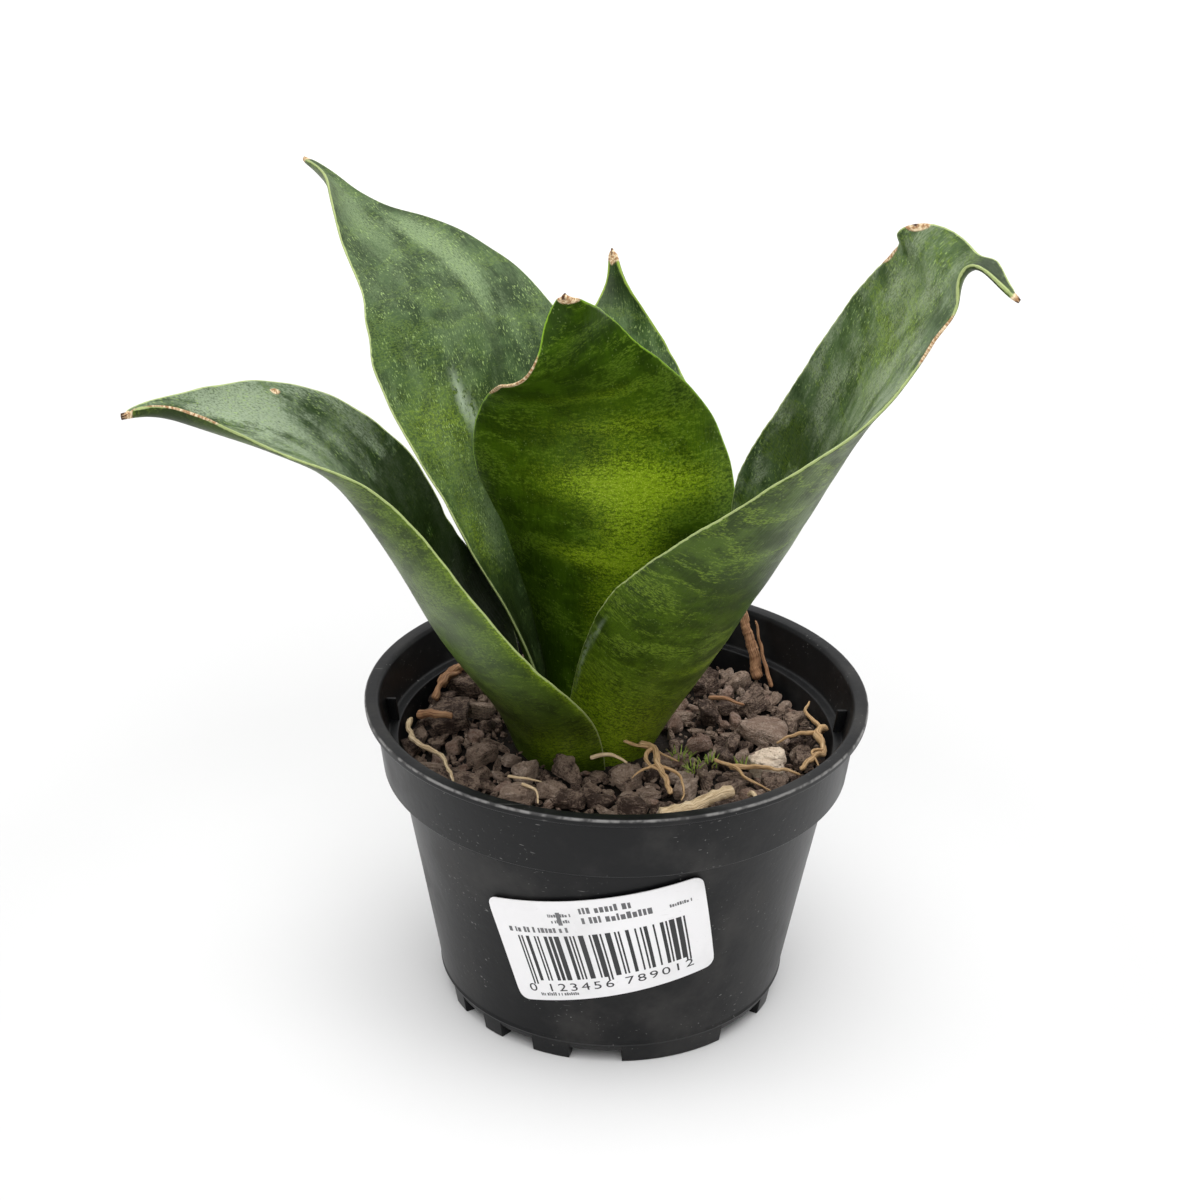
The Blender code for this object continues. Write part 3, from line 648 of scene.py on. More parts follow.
@dataclass(frozen=True)
class PlasticFinish:
    """Satin black nursery-pot plastic with dust, specks and scratches, and a painted highlight along the lip."""

    name: str = "pot_plastic_scuffed_lip_highlight"
    colour: Colour = (0.0055, 0.0057, 0.0064)
    dusty: Colour = (0.045, 0.043, 0.041)
    scuff_and_highlight: Colour = (0.2, 0.195, 0.19)
    roughness: float = 0.36
    # Where the painted lip highlight lies, as radius and height ranges in metres.
    highlight_radius: tuple[float, float] = (0.0545, 0.0549)
    highlight_height: tuple[float, float] = (0.0702, 0.0707)

    def material(self, effects: Effects) -> bpy.types.Material:
        """Builds the material on object coordinates. A broken pale line is painted along the lip's outer top edge as
        its highlight.
        """
        made, wire, shader = new_finish(self.name)
        spot = wire.add("TexCoord").outputs["Object"]
        out = effects.dust.used(wire, Place=spot, Amount=0.8)
        colour = wire.mix(out["Dust"], self.colour, self.dusty)
        colour = wire.mix(out["Scuff"], colour, self.scuff_and_highlight)
        # Painted highlight: a broken pale line along the lip's outer top edge, in the scuff colour.
        around = wire.times(wire.plus(spot, tuple((-AXIS).tolist())), (1.0, 1.0, 0.0))
        radius = wire.add("VectorMath", {0: around}, operation="LENGTH").outputs["Value"]
        height = wire.add("SeparateXYZ", {0: spot}).outputs[2]
        lip_highlight = wire.product(wire.step(radius, *self.highlight_radius), wire.step(height, *self.highlight_height))
        highlight_breakup = wire.total(0.2, wire.step(wire.noise(spot, 240.0, 3, 0.6), 0.38, 0.58))
        colour = wire.mix(wire.product(lip_highlight, highlight_breakup, True), colour, self.scuff_and_highlight)
        wire.put(shader.inputs["Base Color"], colour)
        rough = wire.total(self.roughness, wire.product(out["Dust"], 0.25))
        wire.put(shader.inputs["Roughness"], wire.total(rough, wire.product(out["Scuff"], 0.2)))
        shader.inputs["Specular IOR Level"].default_value = 0.2
        bumped(wire, shader, out["Height"], 0.00004)
        return made


@dataclass(frozen=True)
class PaperFinish:
    """Coated white label paper, a little smudged, or the dark ink printed on it."""

    name: str
    colour: Colour
    smudge: Colour
    roughness: float = 0.38

    def material(self, effects: Effects) -> bpy.types.Material:
        """Builds the material on object coordinates."""
        made, wire, shader = new_finish(self.name)
        spot = wire.add("TexCoord").outputs["Object"]
        out = effects.dust.used(wire, Place=spot, Amount=0.5)
        colour = wire.mix(wire.total(out["Dust"], out["Scuff"], True), self.colour, self.smudge)
        wire.put(shader.inputs["Base Color"], colour)
        rough = wire.total(self.roughness, wire.product(out["Dust"], 0.2))
        wire.put(shader.inputs["Roughness"], rough)
        bumped(wire, shader, out["Height"], 0.00002)
        return made


# ---------------------------------------------------------------- pot and label


@dataclass
class Pot:
    """The round nursery pot: a filleted wall section carried round the axis, with a castellated foot ring."""

    height: float = 71 * MM
    foot_radius: float = 37.5 * MM
    foot_width: float = 3.0 * MM
    foot_height: float = 3.0 * MM
    floor_underside: float = 3.4 * MM
    floor_top: float = 4.6 * MM
    wall: float = 1.0 * MM
    body_top_radius: float = 48.6 * MM
    ledge_height: float = 61.5 * MM
    band_bottom: float = 55 * MM
    band_bottom_radius: float = 50.9 * MM
    band_top_radius: float = 52.8 * MM
    lip_radius: float = 55 * MM
    lip_thickness: float = 1.8 * MM
    ridge_height: float = 5.2 * MM
    ridge_depth: float = 0.35 * MM
    feet: tuple[tuple[float, float], ...] = ((292, 36), (250, 13), (227, 8), (208, 7), (335, 8))
    rib_azimuths: tuple[float, ...] = (2, 92, 176, 272)
    rib_inner_radius: float = 47.8 * MM
    rib_top: float = 67 * MM
    rib_thickness: float = 1.0 * MM
    turns: int = 288

    def body_radius(self, height: Array | float) -> Array | float:
        """Outer radius of the tapering body at a height."""
        return self.foot_radius + (self.body_top_radius - self.foot_radius) * height / self.ledge_height

    def section(self) -> Array:
        """Corners of the wall's closed outline as (radius, height, fillet radius), in metres."""
        lip = self.height - self.lip_thickness
        foot, ridge, mm = self.foot_radius, self.ridge_height, MM
        at_ridge = self.body_radius(ridge)
        return np.array((
            (0.01 * mm, self.floor_underside, 0),
            (foot - self.foot_width - 0.6 * mm, self.floor_underside, 0.3 * mm),
            (foot - self.foot_width, 0, 0.3 * mm),
            (foot, 0, 0.4 * mm),
            (at_ridge - 0.1 * mm, ridge - 0.6 * mm, 0.3 * mm),
            (at_ridge + self.ridge_depth, ridge, 0.25 * mm),
            (at_ridge + 0.1 * mm, ridge + 0.6 * mm, 0.3 * mm),
            (self.body_radius(30 * mm), 30 * mm, 0),
            (self.body_top_radius, self.ledge_height - self.wall, 0.3 * mm),
            (self.band_bottom_radius - self.wall, self.ledge_height - self.wall, 0.2 * mm),
            (self.band_bottom_radius - self.wall, self.band_bottom, 0.3 * mm),
            (self.band_bottom_radius, self.band_bottom, 0.35 * mm),
            (self.band_top_radius, lip - 0.4 * mm, 0.5 * mm),
            (self.lip_radius - 0.2 * mm, lip, 0.45 * mm),
            (self.lip_radius, self.height, 0.7 * mm),
            (self.band_top_radius - 0.6 * mm, self.height, 0.6 * mm),
            (self.band_top_radius - 1.2 * mm, self.height - 0.9 * mm, 0.3 * mm),
            (self.band_bottom_radius - 1.1 * mm, self.ledge_height, 0.6 * mm),
            (self.body_top_radius - self.wall, self.ledge_height, 0.35 * mm),
            (self.body_radius(self.floor_top) - self.wall, self.floor_top, 1.2 * mm),
            (0.01 * mm, self.floor_top, 0),
        ))

    @staticmethod
    def filleted(section: Array, steps: int = 5) -> Array:
        """Rounds each corner: a curve from a point before it to a point after it, pulled towards the corner.

        Args:
            section: (corners, 3) as radius, height and fillet radius.
            steps: points on each fillet.

        Returns:
            (corners * steps, 2) points as radius and height.
        """
        spots, rounds = section[:, :2], section[:, 2]
        before, after = np.roll(spots, 1, axis=0) - spots, np.roll(spots, -1, axis=0) - spots
        t = np.linspace(0, 1, steps)[None, :, None]
        starts, ends = [], []
        for away, held in ((before, starts), (after, ends)):
            length = np.linalg.norm(away, axis=1)
            reach = np.minimum(rounds, length * 0.45) / np.maximum(length, 1e-9)
            held.append(spots + away * reach[:, None])
        start, end, corner = starts[0][:, None], ends[0][:, None], spots[:, None]
        curve = (1 - t) ** 2 * start + 2 * t * (1 - t) * corner + t**2 * end
        return curve.reshape(-1, 2)

    def azimuths(self) -> tuple[Array, Array]:
        """Azimuths in degrees, packed closely at each foot's ends, and whether each lies between feet."""
        low = np.array([(middle + turn - width / 2) % 360 for middle, width in self.feet for turn in (0, 180)])
        wide = np.array([width for _, width in self.feet for _ in (0, 1)], float)
        ends = np.concatenate([low, (low + wide) % 360])
        close = (ends[:, None] + np.array((-0.45, -0.15, 0.15, 0.45))[None]).ravel() % 360
        even = np.arange(self.turns) * 360 / self.turns
        gap = np.abs((even[:, None] - ends[None] + 180) % 360 - 180).min(axis=1)
        every = np.sort(np.concatenate([even[gap > 0.7], close]))
        return every, (((every[:, None] - low[None]) % 360) > wide[None]).all(axis=1)

    def shell(self) -> Shell:
        """The wall's section turned round the axis; between the feet nothing is lower than the foot height."""
        azimuths, raised = self.azimuths()
        outline = self.filleted(self.section())
        turn = np.radians(azimuths)[:, None]
        radius, height = outline[None, :, 0], outline[None, :, 1]
        height = np.where(raised[:, None], np.maximum(height, self.foot_height), height)
        points = np.stack([radius * np.cos(turn), radius * np.sin(turn), height], axis=-1)
        return closed_rings(points[None], looped=True)

    def ribs(self) -> Shell:
        """Upright stacking tabs on the ledge: rounded plates, each a ring carried from the bottom to the top."""
        outer = self.band_bottom_radius - 0.2 * MM
        rise = np.linspace(0, 1, 8)
        corner = np.linspace(0, math.tau, 16, endpoint=False)
        inner = self.rib_inner_radius + 0.8 * MM * rise
        middle, half = (outer + inner) / 2, (outer - inner) / 2
        square = np.abs(np.cos(corner)) ** 0.25 * np.sign(np.cos(corner))
        thin = np.abs(np.sin(corner)) ** 0.6 * np.sign(np.sin(corner))
        top = 1 - 0.25 * eased(rise, 0.85, 1)
        x = middle[:, None] + half[:, None] * square[None]
        y = self.rib_thickness / 2 * thin[None] * top[:, None]
        z = (self.ledge_height - 0.3 * MM + (self.rib_top - self.ledge_height) * rise)[:, None] + 0 * x
        turn = np.radians(self.rib_azimuths)[:, None, None]
        turned_x, turned_y = x * np.cos(turn) - y * np.sin(turn), x * np.sin(turn) + y * np.cos(turn)
        return closed_rings(np.stack([turned_x, turned_y, z + 0 * turn], axis=-1))

    def build(self, effects: Effects) -> None:
        """Makes the wall and its ribs in one piece."""
        shell = gathered([self.shell(), self.ribs()])
        place("pot_wall", shell, PlasticFinish().material(effects), Slot.POT, ["pot"], sharp=50)


@dataclass
class Label:
    """The printed price label on the pot's body, with bars, plain digits and blank text lines."""

    pot: Pot
    width: float = 45.5 * MM
    height: float = 27 * MM
    thickness: float = 0.35 * MM
    corner: float = 2.2 * MM
    middle_height: float = 33.6 * MM
    middle_azimuth: float = 267.5
    tilt: float = 13.0
    standoff: float = 0.65 * MM
    digits: str = "0 123456 789012"
    module: float = 0.375 * MM
    bars_left: float = -17.9 * MM
    bars_top: float = 4.2 * MM
    bars_bottom: float = -7.9 * MM

    def on_pot(self, across: Array, up: Array, lift: Array | float) -> Array:
        """Points of the flat label laid round the pot's cone, with the label's own tilt."""
        tilt = math.radians(self.tilt)
        along = across * math.cos(tilt) - up * math.sin(tilt)
        height = self.middle_height + across * math.sin(tilt) + up * math.cos(tilt)
        turn = math.radians(self.middle_azimuth) + along / self.pot.body_radius(self.middle_height)
        radius = self.pot.body_radius(height) + lift
        return np.stack(np.broadcast_arrays(radius * np.cos(turn), radius * np.sin(turn), height), axis=-1)

    def plate(self) -> Shell:
        """The paper: rings up its face and down its back at each place across, shorter in the rounded corners."""
        bend = self.corner * (1 - np.cos(np.radians(np.linspace(0, 90, 9))))
        inner = np.linspace(self.corner, self.width - self.corner, 60)[1:-1]
        offset = np.concatenate([bend, inner, self.width - bend[::-1]])
        edge = np.minimum(np.minimum(offset, self.width - offset), self.corner)
        cut = self.corner - np.sqrt(np.maximum(self.corner**2 - (self.corner - edge) ** 2, 0))
        reach = self.height / 2 - cut
        share = np.linspace(-1, 1, 24)
        up = reach[:, None] * np.concatenate([share, share[::-1]])[None]
        high = self.standoff + self.thickness
        lift = np.concatenate([np.full(24, high), np.full(24, self.standoff)])[None]
        lift = lift - 0.12 * MM * (np.abs(np.concatenate([share, share[::-1]])[None]) > 0.999) * (lift > self.standoff)
        across = (offset - self.width / 2)[:, None] + 0 * up
        return closed_rings(self.on_pot(across, up, lift)[None])

    def blocks(self, spans: Array) -> Shell:
        """Flat printed blocks, each (left, right, bottom, top) in metres, as slabs a hair above the paper."""
        rows = np.linspace(0, 1, 8)
        left, right, bottom, top = (spans[:, n, None, None] for n in range(4))
        up = bottom + (top - bottom) * rows[None, :, None]
        side = np.array((0.0, 0.5, 1.0, 1.0, 0.5, 0.0))[None, None]
        lift = self.standoff + self.thickness + np.array((0.03, 0.03, 0.03, -0.02, -0.02, -0.02)) * MM
        across = left + (right - left) * side
        across, up, lift = np.broadcast_arrays(across, up, lift[None, None])
        return closed_rings(self.on_pot(across, up, lift))

    def bar_spans(self) -> Array:
        """A made-up run of bars: three guards and evenly random stripes between them."""
        chance = np.random.default_rng(12)
        spans, at = [], 0
        for group in range(2):
            spans += [(at, at + 1, True), (at + 2, at + 3, True)]
            at += 4
            for _ in range(6):
                gap, thin, space, thick = chance.permutation((1, 1, 2, 3))
                spans += [(at + gap, at + gap + thin, False), (at + gap + thin + space, at + 7, False)]
                at += 7
        spans += [(at, at + 1, True), (at + 2, at + 3, True)]
        rows = np.array([(low, high, guard) for low, high, guard in spans], float)
        left = self.bars_left + rows[:, 0] * self.module
        right = self.bars_left + rows[:, 1] * self.module
        bottom = self.bars_bottom - rows[:, 2] * 1.0 * MM
        return np.stack([left, right, bottom, np.full_like(left, self.bars_top)], axis=1)

    def text_lines(self) -> Array:
        """Blank text lines: runs of small uneven blocks, broken into words, each run (left, low, height, length)."""
        chance = np.random.default_rng(4)
        runs = ((-19.4, 5.2, 1.5, 13.5), (-17.0, -12.1, 0.9, 9.0), (-2.6, 10.0, 1.9, 11.0), (-2.6, 7.3, 1.9, 14.0),
                (15.2, 7.6, 0.9, 4.6), (-7.6, 7.2, 4.4, 0.9), (-9.4, 9.4, 0.9, 4.6), (-9.0, 7.8, 0.9, 3.8))
        spans = []
        for left, low, tall, long in runs:
            end = left + long
            while left < end:
                wide = tall * chance.uniform(0.22, 0.5) if long > tall else long
                high = tall * chance.uniform(0.65, 1.0)
                spans.append((left, left + wide, low, low + high))
                left += wide + tall * (0.16 if chance.uniform() < 0.8 else 0.5)
        return np.array(spans) * MM

    def digit_shell(self) -> Shell:
        """The row of plain digits, laid flat as text first and then carried onto the pot."""
        curve = bpy.data.curves.new("digit_row", "FONT")
        curve.body = self.digits
        curve.size = 3.0 * MM
        curve.space_character = 1.28
        curve.extrude = 0.025 * MM
        curve.resolution_u = 3
        flat = bpy.data.objects.new("digit_row", curve)
        bpy.context.scene.collection.objects.link(flat)
        bpy.context.view_layer.update()
        mesh = bpy.data.meshes.new_from_object(flat.evaluated_get(bpy.context.evaluated_depsgraph_get()))
        mesh.calc_loop_triangles()
        points = np.empty(len(mesh.vertices) * 3)
        mesh.vertices.foreach_get("co", points)
        points = points.reshape(-1, 3)
        triangles = np.empty(len(mesh.loop_triangles) * 3, int)
        mesh.loop_triangles.foreach_get("vertices", triangles)
        bpy.data.objects.remove(flat)
        bpy.data.meshes.remove(mesh)
        left, right = points[:, 0].min(), points[:, 0].max()
        across = -19.4 * MM + (points[:, 0] - left) * (37.4 * MM / (right - left))
        up = points[:, 1] - 10.9 * MM
        lift = self.standoff + self.thickness + points[:, 2]
        return Shell(self.on_pot(across, up, lift), np.zeros((0, 4), int), triangles.reshape(-1, 3)).outward()

    def build(self, effects: Effects) -> None:
        """Makes the paper and its print."""
        paper = PaperFinish("label_paper_coated", (0.9, 0.89, 0.9), (0.66, 0.65, 0.65))
        ink = PaperFinish("label_ink", (0.018, 0.018, 0.02), (0.07, 0.07, 0.07), 0.5)
        pale_ink = PaperFinish("label_ink_pale", (0.12, 0.12, 0.125), (0.25, 0.25, 0.25), 0.5)
        place("label_sheet", self.plate(), paper.material(effects), Slot.LABEL, ["label"], sharp=40)
        print_shell = gathered([self.blocks(self.bar_spans()), self.digit_shell()])
        place("label_print", print_shell, ink.material(effects), Slot.LABEL, sharp=30)
        place("label_text_lines", self.blocks(self.text_lines()), pale_ink.material(effects), Slot.LABEL, sharp=30)


# ---------------------------------------------------------------- leaves


class MarkKind(Enum):
    """What a mark does to the leaf's skin. DRY and SCRAPE are the skin's own marks; GLOW paints light shining through
    the blade, DARK paints shade where the leaves shade one another and darkens some tips, and PALE paints sheen and
    highlights.
    """

    DRY = "dry"
    SCRAPE = "scrape"
    GLOW = "glow"
    DARK = "dark"
    PALE = "pale"


@dataclass(frozen=True)
class Mark:
    """A soft spot on a blade: its middle and size as shares along and across, and its strength."""

    kind: MarkKind
    along: float
    across: float
    long: float
    wide: float
    strength: float = 1.0
    inner: bool | None = None


STATIONS = (0.0, 0.2, 0.4, 0.6, 0.8, 0.92, 1.0)


@dataclass
class Leaf:
    """One fleshy blade, in millimetres and degrees.

    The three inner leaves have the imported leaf's own stations, widths and angles. Outer left differs from it in
    right, cup and twist. Outer right differs in its length and stations, and from its middle to its tip.
    """

    name: str
    sheath: float
    length: float
    heading: tuple[float, ...]
    lean: tuple[float, ...]
    left: tuple[float, ...]
    right: tuple[float, ...]
    cup: tuple[float, ...]
    twist: tuple[float, ...]
    finish: LeafFinish
    marks: tuple[Mark, ...] = ()
    stations: tuple[float, ...] = STATIONS
    rows: int = 230
    columns: int = 46
    seed: int = 1

    def smooth(self, values: Sequence[float], at: Array) -> Array:
        """Cubic curve through values at uneven stations, with slopes taken from the neighbouring spans."""
        spots, heights = np.asarray(self.stations, float), np.asarray(values, float)
        widths = np.diff(spots)
        slopes = np.diff(heights) / widths
        tangents = np.empty_like(heights)
        tangents[0], tangents[-1] = slopes[0], slopes[-1]
        tangents[1:-1] = (slopes[:-1] * widths[1:] + slopes[1:] * widths[:-1]) / (widths[:-1] + widths[1:])
        span = np.clip(np.searchsorted(spots, at, side="right") - 1, 0, len(widths) - 1)
        t = (at - spots[span]) / widths[span]
        start = (2 * t**3 - 3 * t**2 + 1) * heights[span] + (t**3 - 2 * t**2 + t) * widths[span] * tangents[span]
        end = (3 * t**2 - 2 * t**3) * heights[span + 1] + (t**3 - t**2) * widths[span] * tangents[span + 1]
        return start + end

    def direction(self, at: Array) -> tuple[Array, Array]:
        """Unit vectors along the midrib, and the heading in radians."""
        lean = np.radians(self.smooth(self.lean, at))
        heading = np.radians(self.smooth(self.heading, at))
        level = np.sin(lean)
        return np.stack([level * np.cos(heading), level * np.sin(heading), np.cos(lean)], axis=1), heading

    def midrib(self, at: Array, crown: Array) -> Array:
        """Points on the midrib: short steps along its direction added up from the sheath on the rhizome."""
        steps = np.linspace(0, 1, 241)
        along, heading = self.direction(steps)
        root = crown + self.sheath * MM * np.array((math.cos(heading[0]), math.sin(heading[0]), 0))
        moves = (along[1:] + along[:-1]) / 2 * self.length * MM / 240
        line = np.concatenate([[[0, 0, 0]], np.cumsum(moves, axis=0)]) + root
        return np.stack([np.interp(at, steps, line[:, axis]) for axis in range(3)], axis=1)

    def half_width(self, values: Sequence[float], at: Array, side: int) -> Array:
        """Width from the midrib to one margin, slightly rippled, closing to a point at the tip."""
        width = np.maximum(self.smooth(values, at), 0.5) * MM
        along = np.stack([at * self.length, np.full_like(at, side * 40.0), np.full_like(at, self.seed * 7.0)], axis=1)
        ripple = waves(along, 7, 3.0, 16.0, self.seed + 5)
        width = width + 0.22 * MM * ripple * eased(at, 0.12, 0.25) * (1 - eased(at, 0.9, 0.97))
        return width * (1 - 0.75 * eased(at, 0.985, 1.0))

    def middle_surface(self, at: Array, across: Array, crown: Array) -> tuple[Array, Array]:
        """The blade's middle: each cross-section is an arc that cups inwards from the midrib.

        Args:
            at: shares of the leaf's length.
            across: shares of the half width, positive on the left.
            crown: the middle of the rhizome's top.

        Returns:
            The (rows, columns, 3) surface and each point's signed distance from the midrib.
        """
        midrib = self.midrib(at, crown)
        along, heading = self.direction(at)
        level_side = np.stack([-np.sin(heading), np.cos(heading), np.zeros_like(heading)], axis=1)
        level_inner = np.cross(along, level_side)
        twist = np.radians(self.smooth(self.twist, at))[:, None]
        side = level_side * np.cos(twist) + level_inner * np.sin(twist)
        inner = level_inner * np.cos(twist) - level_side * np.sin(twist)
        left, right = self.half_width(self.left, at, 1), self.half_width(self.right, at, -1)
        plain_left = np.maximum(self.smooth(self.left, at), 0.5) * MM
        plain_right = np.maximum(self.smooth(self.right, at), 0.5) * MM
        cup = np.radians(self.smooth(self.cup, at))
        bend = np.maximum(cup / ((plain_left + plain_right) / 2), 1e-3)[:, None]
        reach = across[None] * np.where(across[None] > 0, left[:, None], right[:, None])
        sideways = (np.sin(bend * reach) / bend)[..., None]
        inwards = ((1 - np.cos(bend * reach)) / bend)[..., None]
        surface = midrib[:, None] + side[:, None] * sideways + inner[:, None] * inwards
        level = (crown[2] - surface[0, :, 2]) / along[0, 2]
        surface[0] += along[0] * level[:, None]
        return surface, reach

    def painted(self, kind: MarkKind, at: Array, across: Array, inner: bool) -> Array:
        """Sum of the marks of one kind: each a bell along and across, strongest at its middle."""
        total = np.zeros((len(at), len(across)))
        for mark in self.marks:
            if mark.kind is not kind or (mark.inner is not None and mark.inner is not inner):
                continue
            rise = ((at[:, None] - mark.along) / mark.long) ** 2
            spread = ((across[None] - mark.across) / mark.wide) ** 2
            total += mark.strength * np.exp(-rise - spread)
        return total

    def shell(self, crown: Array) -> Shell:
        """The closed blade: rings over the inner face and back over the outer, thick at the midrib.

        The half thickness is 0.3 mm at the margin, rounding to nothing at its very edge, and 1.1 mm at the
        midrib near the base. The inner face has a shallow groove along the midrib.
        """
        at = np.linspace(0, 1, self.rows + 1)
        across = np.sin(np.linspace(-1, 1, self.columns + 1) * math.pi / 2)
        surface, reach = self.middle_surface(at, across, crown)
        normals = np.cross(np.gradient(surface, axis=0), np.gradient(surface, axis=1))
        normals /= np.maximum(np.linalg.norm(normals, axis=2, keepdims=True), 1e-12)
        fullness = (1 - across[None] ** 2) * (1 - 0.5 * at[:, None])
        edge = (1 - np.abs(across[None])) * np.where(across[None] > 0, reach[:, -1:], -reach[:, :1])
        rounding = np.sqrt(np.clip(edge / (0.35 * MM), 0.12, 1))
        half = (0.3 * MM + 0.75 * MM * fullness) * rounding
        swell = waves(surface / MM, 8, 9.0, 34.0, self.seed) * 0.22 * MM
        swell = swell * eased(at, 0.12, 0.3)[:, None] * (1 - eased(at, 0.9, 1.0))[:, None]
        groove = 0.3 * MM * np.exp(-((reach / (1.1 * MM)) ** 2)) * (1 - eased(at, 0.85, 0.98))[:, None]
        front = surface + normals * (half + swell - groove)[..., None]
        back = surface - normals * (half - swell)[..., None]
        points = np.concatenate([front, back[:, ::-1]], axis=1)
        uv = np.stack([reach / MM / 100 + 0.5, np.repeat(at[:, None] * self.length / 100, len(across), 1)], axis=-1)
        values = {
            "UVMap": np.concatenate([uv, uv[:, ::-1]], axis=1)[None],
            "edge": np.concatenate([edge, edge[:, ::-1]], axis=1)[None] / MM,
            "inner": np.concatenate([np.ones_like(edge), np.zeros_like(edge)], axis=1)[None],
        }
        for kind in MarkKind:
            faces = [self.painted(kind, at, across, True), self.painted(kind, at, across, False)[:, ::-1]]
            values[kind.value] = np.concatenate(faces, axis=1)[None]
        return closed_rings(points[None], values)

    def build(self, effects: Effects, crown: Array) -> Shell:
        """Makes the leaf's piece and returns its shell."""
        shell = self.shell(crown)
        place(self.name + "_blade", shell, self.finish.material(effects), Slot.LEAF, [self.name])
        return shell


# GLOW marks below paint light shining through a blade, DARK marks paint shade and PALE marks paint sheen and
# highlights.
DRY, SCRAPE, GLOW, DARK, PALE = MarkKind


